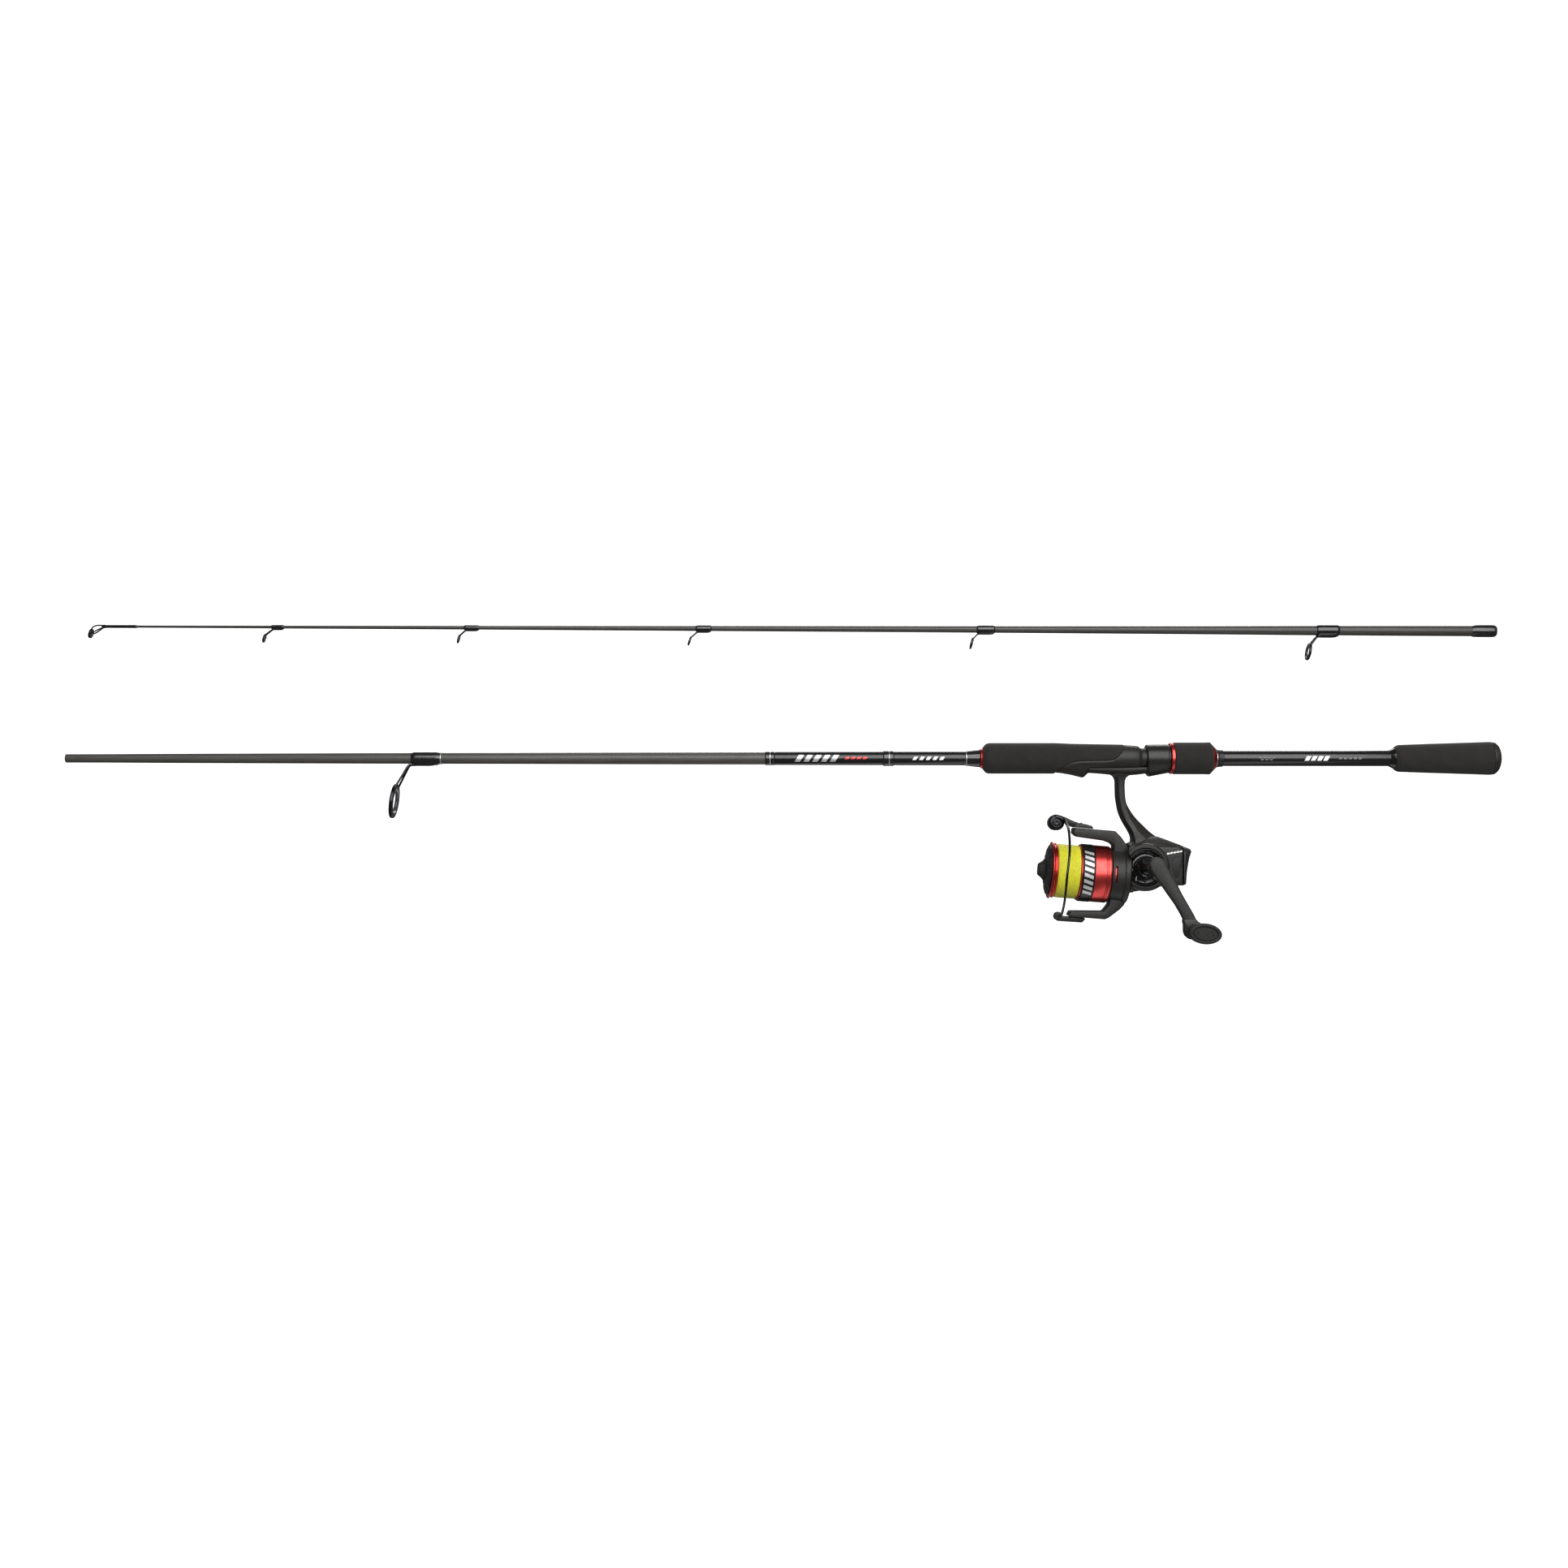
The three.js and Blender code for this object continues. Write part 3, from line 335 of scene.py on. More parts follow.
# ---------- materials ----------
class Look:
    """A material built up from object coordinates in millimetres, and the record's slot it belongs to."""

    def __init__(self, name, slot, color, roughness, metallic=0.0, coat=0.0, sheen=0.0):
        self.material = bpy.data.materials.new(name)
        self.material.use_nodes = True
        self.nodes, self.links = self.material.node_tree.nodes, self.material.node_tree.links
        self.shader = self.nodes["Principled BSDF"]
        self.slot, self.color, self.roughness = slot, (*color, 1.0), roughness
        self.shader.inputs["Base Color"].default_value = self.color
        self.shader.inputs["Roughness"].default_value = roughness
        self.shader.inputs["Metallic"].default_value = metallic
        self.shader.inputs["Coat Weight"].default_value = coat
        self.shader.inputs["Coat Roughness"].default_value = 0.06
        self.shader.inputs["Sheen Weight"].default_value = sheen
        self.normal = None
        self.material.diffuse_color = self.color
        place = self.node("ShaderNodeTexCoord").outputs["Object"]
        scale = self.node("ShaderNodeVectorMath", operation="SCALE")
        scale.inputs["Scale"].default_value = 1 / MM
        self.links.new(place, scale.inputs[0])
        self.place = scale.outputs[0]

    def node(self, kind, **settings):
        made = self.nodes.new(kind)
        for key, value in settings.items():
            setattr(made, key, value)
        return made

    def noise(self, size, detail=2.0, squeeze=(1, 1, 1)):
        """Noise with lumps of about that size in millimetres."""
        place = self.node("ShaderNodeVectorMath", operation="MULTIPLY")
        place.inputs[1].default_value = squeeze
        self.links.new(self.place, place.inputs[0])
        noise = self.node("ShaderNodeTexNoise")
        noise.inputs["Scale"].default_value = 1 / size
        noise.inputs["Detail"].default_value = detail
        self.links.new(place.outputs[0], noise.inputs["Vector"])
        return noise.outputs["Fac"]

    def stripes(self, pitch, waviness=0.0, axis="X"):
        """Ridges across the local axis, one for each pitch in millimetres."""
        wave = self.node("ShaderNodeTexWave", wave_type="BANDS", bands_direction=axis)
        wave.inputs["Scale"].default_value = TURN / 20 / pitch
        wave.inputs["Distortion"].default_value = waviness
        wave.inputs["Detail"].default_value = 1.0
        self.links.new(self.place, wave.inputs["Vector"])
        return wave.outputs["Fac"]

    def spread(self, value, low, high, narrow=0.3):
        """value, from noise or stripes, stretched to run from low to high."""
        span = self.node("ShaderNodeMapRange")
        span.inputs["From Min"].default_value = narrow
        span.inputs["From Max"].default_value = 1 - narrow
        span.inputs["To Min"].default_value = low
        span.inputs["To Max"].default_value = high
        self.links.new(value, span.inputs["Value"])
        return span.outputs["Result"]

    def tint(self, value, other, low=0.0, high=1.0):
        """Mixes the base colour with another where value is high."""
        mix = self.node("ShaderNodeMix", data_type="RGBA")
        source = self.shader.inputs["Base Color"]
        if source.links:
            self.links.new(source.links[0].from_socket, mix.inputs["A"])
        else:
            mix.inputs["A"].default_value = self.color
        mix.inputs["B"].default_value = (*other, 1.0)
        self.links.new(self.spread(value, low, high), mix.inputs["Factor"])
        self.links.new(mix.outputs["Result"], source)
        return self

    def rough(self, value, change):
        """Varies the roughness either way by change."""
        self.links.new(self.spread(value, self.roughness - change, self.roughness + change),
                       self.shader.inputs["Roughness"])
        return self

    def relief(self, value, depth):
        """Raises the surface by value times depth in millimetres."""
        bump = self.node("ShaderNodeBump")
        bump.inputs["Distance"].default_value = depth * MM
        self.links.new(value, bump.inputs["Height"])
        if self.normal:
            self.links.new(self.normal, bump.inputs["Normal"])
        self.normal = bump.outputs["Normal"]
        self.links.new(self.normal, self.shader.inputs["Normal"])
        return self


def scaled(color, factor):
    return tuple(c * factor for c in color)


def dull(look, specular):
    """Turns the plain reflection of a dark look down, as on a worn or textured skin."""
    look.shader.inputs["Specular IOR Level"].default_value = specular
    return look


def carbon_look(name, shade=1.0):
    """Matt carbon tape: a fine winding across the blank, and lighter patches along it."""
    look = dull(Look(name, "carbon", scaled((0.05, 0.047, 0.044), shade), 0.45, coat=0.1), 0.4)
    look.tint(look.noise(3, 3, (0.15, 1, 1)), scaled((0.075, 0.07, 0.064), shade), 0, 0.8)
    look.rough(look.noise(0.8, 3), 0.1)
    look.relief(look.stripes(1.1, 0.4), 0.012)
    return look.relief(look.noise(0.25, 2), 0.01)


def epoxy_look(name, thread=0.22):
    look = dull(Look(name, "epoxy", (0.004, 0.004, 0.0042), 0.16, coat=0.45), 0.4)
    look.tint(look.noise(2.5), (0.014, 0.013, 0.013), 0, 0.7)
    look.rough(look.noise(1.2), 0.05)
    return look.relief(look.stripes(thread, 0.2), 0.004)


def gloss_look(name, slot="gloss_plastic", roughness=0.16):
    look = dull(Look(name, slot, (0.004, 0.004, 0.0045), roughness, coat=0.2), 0.4)
    look.rough(look.noise(4), 0.04)
    return look.relief(look.noise(3), 0.008)


def foam_look(name):
    look = Look(name, "foam", (0.0135, 0.0125, 0.0118), 0.92, sheen=0.06)
    look.shader.inputs["Sheen Roughness"].default_value = 0.6
    look.shader.inputs["Specular IOR Level"].default_value = 0.25
    look.tint(look.noise(0.45, 3), (0.022, 0.0203, 0.019), 0, 0.9)
    look.tint(look.noise(9, 2), (0.0105, 0.0097, 0.0092), 0, 0.6)
    return look.relief(look.noise(0.4, 4), 0.16)


def moulded_look(name, color=(0.0125, 0.0117, 0.011), roughness=0.47, slot="plastic", grain=0.02):
    look = dull(Look(name, slot, color, roughness), 0.32)
    look.tint(look.noise(6, 3), scaled(color, 1.45), 0, 0.6)
    look.rough(look.noise(1.1, 3), 0.07)
    return look.relief(look.noise(0.22, 3), grain)


def red_look(name):
    look = Look(name, "red_metal", (0.52, 0.045, 0.042), 0.33, metallic=1.0, coat=0.2)
    look.tint(look.noise(5), (0.60, 0.07, 0.062), 0, 0.7)
    look.rough(look.stripes(0.16, 0.3), 0.05)
    return look.relief(look.stripes(0.12, 0.2), 0.0018)


def metal_look(name, slot, color, roughness, pitch=0.15, depth=0.0015):
    look = Look(name, slot, color, roughness, metallic=1.0)
    look.rough(look.noise(1.5, 3), roughness * 0.3)
    look.tint(look.noise(4), scaled(color, 0.75), 0, 0.7)
    return look.relief(look.stripes(pitch, 0.3), depth)


def print_look(name):
    look = Look(name, "plastic", (0.55, 0.55, 0.56), 0.42, metallic=0.55)
    look.tint(look.noise(3), (0.42, 0.42, 0.43), 0, 0.8)
    look.rough(look.noise(0.9), 0.06)
    return look.relief(look.noise(0.3), 0.004)


def ceramic_look(name):
    look = Look(name, "ceramic", (0.04, 0.043, 0.05), 0.1, coat=0.5)
    look.rough(look.noise(0.9), 0.03)
    return look.relief(look.noise(1.2), 0.004)


def braid_look(name):
    look = Look(name, "braid", (0.60, 0.58, 0.012), 0.66, sheen=0.1)
    look.tint(look.noise(0.22, 3, (1, 0.12, 0.12)), (0.34, 0.335, 0.006), 0, 0.75)
    look.tint(look.noise(2.6, 2), (0.70, 0.68, 0.03), 0, 0.5)
    look.rough(look.noise(0.5), 0.1)
    return look.relief(look.noise(0.12, 2, (1, 0.25, 0.25)), 0.05)


def felt_look(name):
    look = Look(name, "felt", (0.1, 0.07, 0.045), 0.9, sheen=0.3)
    look.tint(look.noise(0.4, 4), (0.15, 0.11, 0.07))
    return look.relief(look.noise(0.2, 4), 0.1)


carbon = carbon_look("carbon")
tip_carbon = carbon_look("tip_carbon", 0.62)
epoxy = epoxy_look("epoxy")
gloss_black = gloss_look("gloss_black")
sleeve_gloss = gloss_look("sleeve_gloss", "carbon", 0.27)
foam = foam_look("foam")
plastic = moulded_look("moulded_plastic")
hood_plastic = moulded_look("hood_plastic", (0.0105, 0.0098, 0.0093), 0.34, grain=0.006)
dark_plastic = moulded_look("dark_plastic", (0.0055, 0.0053, 0.0052), 0.5)
red = red_look("red_anodised")
black_metal = metal_look("black_metal", "dark_metal", (0.035, 0.035, 0.038), 0.26)
steel = metal_look("steel", "steel", (0.55, 0.55, 0.56), 0.24)
silver = metal_look("silver", "steel", (0.62, 0.62, 0.63), 0.32)
brass = metal_look("brass", "brass", (0.55, 0.38, 0.13), 0.3)
ceramic = ceramic_look("ceramic")
braid = braid_look("braid")
felt = felt_look("felt")
cover_plastic = moulded_look("cover_plastic", (0.0125, 0.0117, 0.011), 0.42, "gloss_plastic")
band_black = moulded_look("band_black", (0.006, 0.006, 0.006), 0.3)
grip_rubber = moulded_look("grip_rubber", (0.009, 0.0086, 0.0082), 0.6)
white_print = moulded_look("white_print", (0.75, 0.75, 0.74), 0.5)
silver_print = print_look("silver_print")
faint_print = moulded_look("faint_print", (0.16, 0.16, 0.16), 0.5)
steel_dark = metal_look("dark_screw", "dark_metal", (0.06, 0.06, 0.063), 0.35)


# ---------- butt section ----------
BLANK = [(-819.1, 3.3), (-782, 3.38), (-744.6, 3.6), (-680, 3.82), (-568, 4.2), (-467, 4.38), (-366, 4.7),
         (-281, 4.86), (-269.5, 4.9)]
SEAM = [  # height of the joint between the foam and the seat
    (-51.6, -12.4), (-49.2, -9.8), (-44.2, -6), (-37.9, -3.2), (-31.6, -2.2), (-11.4, -1.9), (-6.3, -0.9),
    (-2.5, 2.2), (0, 5.4), (1.9, 7.9), (3.2, 10.6)]
GRIP_FRONT = -106.7
GRIP_RADIUS = [(GRIP_FRONT, 8.3), (-105.2, 10.3), (-103.6, 11.6), (-101.6, 12), (-50, 12), (-37, 11.4),
               (6, 10.7)]
SEAT_RADIUS = [(-51.2, 10.9), (-48, 11.4), (-20, 11.2), (2, 10.5), (8.8, 10.1), (13.4, 9.8)]
HOOD_DEPTH = [(-50, 11), (-47.3, 11.3), (-37.9, 12.9), (-31.6, 14.5), (-29.3, 15.1), (-27.8, 14.5),
              (-24.7, 11.4)]
HOOD_REAR = -24.6  # where the fixed hood ends and the bed begins
FOOT_BED = -7.05  # underside of the seat, on which the reel foot lies
SEAM_ROLL = 0.55  # how far a rim turns in at the seam
SEAM_ROLL_WIDTH = 0.45
TRIM_WIDTH = 0.9
WRAP_END = 0.13  # share of a wrap's length over which each end tapers


def shell_section(x, radius, start, end, inner, change, count=56):
    """One loop at x of a shell between two angles, with its rims rolled in at the seam."""
    loop = []
    for angle in stretch(start, end, count):
        edge = min(angle - start, end - angle) * radius
        size = radius - SEAM_ROLL * math.exp(-(edge / SEAM_ROLL_WIDTH) ** 2)
        loop.append(Vector((x, *change(size * math.cos(angle), size * math.sin(angle), angle, x))))
    return loop + [round_point(x, inner, a) for a in stretch(end, start, count // 2)]


def seam_angle(x, radius):
    return math.asin(max(-1.0, min(1.0, curve_at(SEAM, x) / radius)))


def as_is(y, z, angle, x):
    return y, z


def fore_grip():
    nose = [GRIP_FRONT, -106.4, -105.8, -105.1, -104.3, -103.3, -102.3, -101.2, -100, -96, -80, -60, -53]
    stations = nose + stretch(-51.5, -25, 30) + stretch(-23, -9, 8) + stretch(-8, 2.2, 26)
    loops = []
    for x in stations:
        radius = smooth_at(GRIP_RADIUS, x, 0.8) if x > -106.3 else 8.2 + (x - GRIP_FRONT) * 1.2
        low = seam_angle(x, radius) if x > -51.4 else -math.pi / 2 + 0.0004
        loops.append(shell_section(x, radius, low, math.pi - low, 5.3 if x < -52 else 7.9, as_is))
    return loft(loops)


def hood_bulge(y, z, angle, x):
    """Lowers the underside to the hood's depth, and cuts it off at the bed behind the hood."""
    if x > HOOD_REAR:
        return y, max(z, FOOT_BED)
    return y, z - below(angle, 0.95, 1.6) * max(0.0, smooth_at(HOOD_DEPTH, x, 0.7) - math.hypot(y, z))


def seat_shell():
    stations = (stretch(-51, -33, 22) + stretch(-32.5, -24.7, 16) + [-24.55] + stretch(-23, -9, 8)
                + stretch(-8, 2.2, 26))
    loops = []
    for x in stations:
        radius = smooth_at(SEAT_RADIUS, x, 0.8)
        low = seam_angle(x, radius) - 0.03
        loops.append(shell_section(x, radius, math.pi - low, TURN + low, 6.9, hood_bulge, 72))
    return loft(loops)


def seat_rear():
    """The seat behind the foam: a full round above a flat bed, stepping down to its neck."""
    outline = [(2.1, 10.5), (5, 10.35), (8.8, 10.1), (12.8, 9.85), (14.2, 9.4), (15.2, 8.4), (16.2, 7.9),
               (17, 7.8), (19.8, 7.8)]
    return loft([[Vector((p.x, p.y, max(p.z, FOOT_BED))) for p in circle(x, radius, 72)]
                 for x, radius in outline])


def moving_hood():
    """The hood that the lock nut pushes: a sleeve that hangs down to hold the rear of the reel's foot."""
    deep = [(20.2, 12.4), (21.4, 13.9), (22.7, 14.2), (37.9, 11.3)]
    outline = [(20.2, 10.2), (20.5, 10.6), (21, 10.75), (28, 10.8), (36.4, 10.9), (37, 10.6), (37.1, 10.5),
               (37.9, 10.5)]
    bore = 7.35
    sides = 84
    loops = []
    for x in [20.2, 20.5, 21, 21.7, 22.7, 24, 27, 30, 33, 35.6, 36.4, 36.8, 37.1, 37.9]:
        radius = curve_at(outline, x)
        loops.append(hanging_loop(x, radius, max(0.0, curve_at(deep, x) - radius), 0.9, 1.4, sides))
    return loft([*loops, circle(37.9, bore, sides), circle(20.2, bore, sides)], closed=True)


def thread_wrap(start, end, front, rear, thick, foot=None, sides=40):
    """Thread and clear coat over a blank, swollen below where it covers a guide's foot."""
    loops = []
    for t in stretch(0, 1, 28):
        x = start + (end - start) * t
        ease = min(1.0, min(t, 1 - t) / WRAP_END)
        swell = thick * math.sin(ease * math.pi / 2) ** 0.8
        radius = front + (rear - front) * t + max(swell, 0.02)
        low = 0.0
        if foot:
            heel, toe, drop = foot
            share = max(0.0, min(1.0, (x - heel + 2.5) / 3, (toe + 2 - x) / (0.45 * (toe - heel))))
            low = drop * math.sin(share * math.pi / 2) * ease
        loops.append(hanging_loop(x, radius, low, 1.1, 1.5, sides))
    return loft(loops)


def curved_bar(radius, x0, x1, slant, a0, a1, thick=0.06, steps=10):
    """A thin slanted bar lying on a round surface, between two angles."""
    loops = []
    for t in stretch(0, 1, steps):
        angle = a0 + (a1 - a0) * t
        start, end = x0 + slant * t, x1 + slant * t
        loops.append([round_point(x, r, angle) for x, r in [
            (start, radius), (end, radius), (end, radius + thick), (start, radius + thick)]])
    return loft(loops)


def build_blank():
    """The butt section's shafts, their bands and trim rings."""
    bore = [(-268.4, 2.2), (-819.1, 2.2)]
    turned("butt_blank_matt", [*BLANK, (-268.4, 4.9), *bore], carbon, replaces=["butt_blank"], corner=0.15)
    turned("butt_sleeve", [(-268.3, 4.2), (-268.3, 5), (-267.9, 5.22), (-185, 5.36), (-175, 5.42),
                           (-118, 5.5), (-118, 4.2)], sleeve_gloss)
    turned("butt_core", [(-119, 3), (-119, 4.9), (72, 4.9), (72, 3)], carbon)
    turned("rear_shaft", [(70, 4), (70, 6), (213, 6.12), (213, 4)], sleeve_gloss)
    for name, start, end, radius, thick in [("front_band", -275.7, -268.2, 4.9, 0.55),
                                            ("middle_band", -184.3, -175.6, 5.4, 0.6)]:
        piece(name, thread_wrap(start, end, radius, radius, thick), "rod", epoxy)
    half = TRIM_WIDTH / 2
    for name, x, radius in [("front_trim", -271.9, 5.46), ("middle_trim", -179.4, 6.02),
                            ("grip_trim", -119.6, 5.85), ("guide_trim", -527.6, 4.66)]:
        turned(name, [(x - half, radius - 0.6), (x - half, radius), (x, radius + 0.12), (x + half, radius),
                      (x + half, radius - 0.6)], silver, corner=0.2)


def build_prints():
    """Plain bars and lines, where such a rod has its print."""
    for name, xs, width, slant, look, a0, a1 in [
            ("sleeve_bars", [-249.5 + 6.8 * i for i in range(5)], 4.2, -3.4, silver_print, 2.62, 3.66),
            ("sleeve_dashes", [-213 + 4.6 * i for i in range(4)], 2.9, -1.2, red, 2.95, 3.33),
            ("sleeve_mark", [-160 + 5.2 * i for i in range(5)], 2.9, -1.6, white_print, 2.9, 3.38)]:
        bars = [curved_bar(5.32 if x < -185 else 5.44, x, x + width, slant, a0, a1) for x in xs]
        piece(name, merge(*bars), "rod", look)
    rear_bars = [curved_bar(6.05, x, x + 3.4, -2, 2.85, 3.45) for x in (144, 148.8, 153.6, 158.4)]
    piece("shaft_bars", merge(*rear_bars), "rod", white_print)
    fine_bars = []
    for xs, width, slant, a0, a1 in [((107, 110.4, 113.8, 117.2), 2.2, -0.4, 3, 3.14),
                                     ((108.5, 111.9, 115.3), 2.2, -0.4, 3.24, 3.38),
                                     ((169, 172.8, 176.6, 180.4, 184.2), 2.4, -0.5, 3.05, 3.26)]:
        fine_bars += [curved_bar(6.05, x, x + width, slant, a0, a1) for x in xs]
    piece("shaft_fine_bars", merge(*fine_bars), "rod", faint_print)


def build_grip_and_seat():
    turned("grip_taper", [(-120.6, 4.9), (-120.6, 5.5), (-119.4, 5.8), (-109.2, 6.95), (-109.2, 4.9)],
           epoxy, replaces=["grip_taper_wrap"], corner=0.4)
    turned("front_check", [(-109, 5), (-109, 6.8), (-108.4, 7.4), (-107.6, 7.6), (-106.8, 8.3),
                           (-106.8, 5)], red, replaces=["front_winding_check"])
    piece("fore_grip_foam", fore_grip(), "rod", foam, ["fore_grip"])
    piece("seat_shell", seat_shell(), "rod", plastic, ["reel_seat"])
    piece("seat_rear", seat_rear(), "rod", plastic)
    turned("seat_barrel", [(19.5, 5.3), (19.5, 7), (71, 7), (71, 5.3)], plastic)
    ridges = [lathe([(x - 0.5, 6.9), (x, 7.28), (x + 0.5, 6.9)], 60, 0.05) for x in stretch(39, 69, 15)]
    piece("seat_thread", merge(*ridges), "rod", plastic)
    piece("moving_hood_shell", moving_hood(), "hood", hood_plastic, ["moving_hood"])

    turned("nut_ring_front", [(38.4, 8), (38.4, 11.7), (38.9, 12.1), (40.8, 12.15), (41.2, 11.8), (41.2, 8)],
           red, "lock_nut", ["nut_front_ring"])
    turned("nut_foam", [(41.4, 9), (41.4, 12.1), (42, 12.4), (66, 12.45), (69.5, 12.6), (70.2, 12.1),
                        (70.7, 11.4), (70.7, 9)], foam, "lock_nut", ["lock_nut_grip"], corner=0.5)
    turned("nut_ring_rear", [(70.8, 6.3), (70.8, 11.3), (71.4, 10.8), (74.3, 7.8), (74.3, 6.3)], red,
           "lock_nut", ["nut_rear_ring"])
    turned("nut_silver_ring", [(74.4, 6.25), (74.4, 7.2), (74.9, 7.2), (74.9, 6.25)], silver, "lock_nut")
    turned("nut_tail", [(75, 6.2), (75, 7.2), (76.6, 6.7), (79.6, 6.55), (80, 6.2)], hood_plastic,
           "lock_nut")

    turned("rear_check", [(209.2, 5.9), (209.2, 6.4), (211, 7.2), (212.9, 8.3), (212.9, 5.9)], gloss_black,
           replaces=["rear_winding_check"])
    turned("rear_grip_foam", [(213, 5.9), (213, 8.3), (214.4, 9.6), (216.4, 10.5), (240, 11.35),
                              (270, 12.3), (287.3, 12.9), (287.3, 5.9)], foam, replaces=["rear_grip"],
           corner=0.5)
    turned("butt_cap_shell", [(287.5, 0), (287.5, 12.7), (288.2, 12.85), (290.8, 12.4), (292.7, 10.7),
                              (293.6, 9), (293.8, 7.6), (293.4, 7.1), (293.4, 5.6), (294.4, 5),
                              (294.4, 0)], plastic, replaces=["butt_cap"], corner=0.6)


# ---------- line guides ----------
TIP_BLANK = [(-1083, 0.75), (-1061.5, 0.92), (-980, 1.1), (-772, 1.55), (-564, 2.18), (-380, 2.66),
             (-229, 3.22), (-150, 3.68), (-78, 3.92), (0, 4.08)]
# Guides: x, drop to the ring's centre, ring and bore radius, depth along the rod, lean, heel and toe of
# the foot from x, radius of the blank, thickness of a leg.
BUTT_GUIDE = (-564.1, 33.2, 13.4, 8.4, 2.6, 0.13, 12, 34, 4.2, 1.1)
TIP_GUIDES = [
    (-957.2, 8.8, 3.5, 1.9, 1.2, 0.25, 6.3, 15, 1.15, 0.6),
    (-806.1, 8.8, 3.5, 1.9, 1.2, 0.25, 5, 15.5, 1.48, 0.6),
    (-626.6, 9.8, 3.7, 2, 1.25, 0.3, 5.7, 16.5, 2.07, 0.65),
    (-407.3, 10.8, 4.7, 2.7, 1.4, 0.25, 4.7, 17.5, 2.67, 0.7),
    (-145.4, 16.4, 6.8, 4, 1.7, 0.16, 6.6, 23, 3.75, 0.85)]
RING_X = -1092
RING_DROP = 5.5
LEG_ANGLE = 0.65  # from the top of the ring to where a leg meets it
LEG_TAPER = (0.9, 0.85, 0.75, 0.8, 0.7)  # thickness along a leg, from its foot to the ring


def guide(name, place, body, nodes, x, drop, ring, bore, depth, lean, heel, toe, blank, leg, sides=48):
    """Ring, ceramic insert, two legs and a tapered foot under the blank."""
    centre = place_at(x, 0, -drop, lean)
    wall = max(0.8, ring * 0.22)
    half = depth / 2
    parts = [moved(lathe([(-half, ring - wall), (-half, ring), (half, ring), (half, ring - wall)], sides,
                         min(half, wall) * 0.6), centre)]
    top = -blank - 0.3 - leg * 0.75
    for side in (-1, 1):
        angle = side * LEG_ANGLE
        reach = ring - wall / 2
        end = centre @ Vector((0, reach * math.sin(angle), reach * math.cos(angle)))
        start = Vector((x + heel + leg, side * leg * 0.5, top))
        knee = Vector((x + heel - leg * 0.8, side * leg * 2, top - leg * 0.9))
        middle = knee.lerp(end, 0.5)
        tail = end + (end - middle).normalized() * leg * 0.8
        parts.append(tube([start, knee, middle, end, tail], [leg * t for t in LEG_TAPER], 12, 5))
    foot = []
    for t in stretch(0, 1, 12):
        along = x + heel - leg * 0.6 + (toe - heel + leg * 0.6) * t
        section = ellipse(0, leg * (1.45 - 0.6 * t), leg * (0.85 - 0.62 * t), 20, 0.8)
        foot.append([Vector((along, p.y, p.z + top + leg * 0.2 * t)) for p in section])
    parts.append(loft(foot))
    piece(name + "_wirework", merge(*parts), body, black_metal, [nodes[0]], place)
    lip = depth * 0.62
    outer = ring - wall - 0.12
    inner = bore + (outer - bore) * 0.55
    insert = lathe([(-lip, inner), (-lip, outer), (lip, outer), (lip, inner), (0, bore)], sides,
                   (outer - bore) * 0.35, 4)
    piece(name + "_insert", moved(insert, centre), body, ceramic, [nodes[1]], place)


def build_guides():
    guide("butt_guide", ROD, "rod", ("butt_guide_frame", "butt_guide_ring"), *BUTT_GUIDE, 72)
    wrap = thread_wrap(-550.6, -527.6, 4.2, 4.26, 0.62, (-550, -531.5, 1.15))
    piece("butt_guide_thread", wrap, "rod", epoxy, ["butt_guide_wrap"])
    for i, row in enumerate(TIP_GUIDES, 1):
        guide(f"tip_guide_{i}", TIP, "tip_section", (f"guide_frame_{i}", f"guide_ring_{i}"), *row)
        x, heel, toe, leg = row[0], row[6], row[7], row[9]
        start, end = x + heel - 1, x + toe + 0.6
        front, rear = curve_at(TIP_BLANK, start), curve_at(TIP_BLANK, end)
        wrap = thread_wrap(start, end, front, rear, 0.35 + 0.12 * front,
                           (x + heel, x + toe - 1, 0.9 * leg + 0.3))
        piece(f"tip_wrap_{i}", wrap, "tip_section", epoxy, (), TIP)


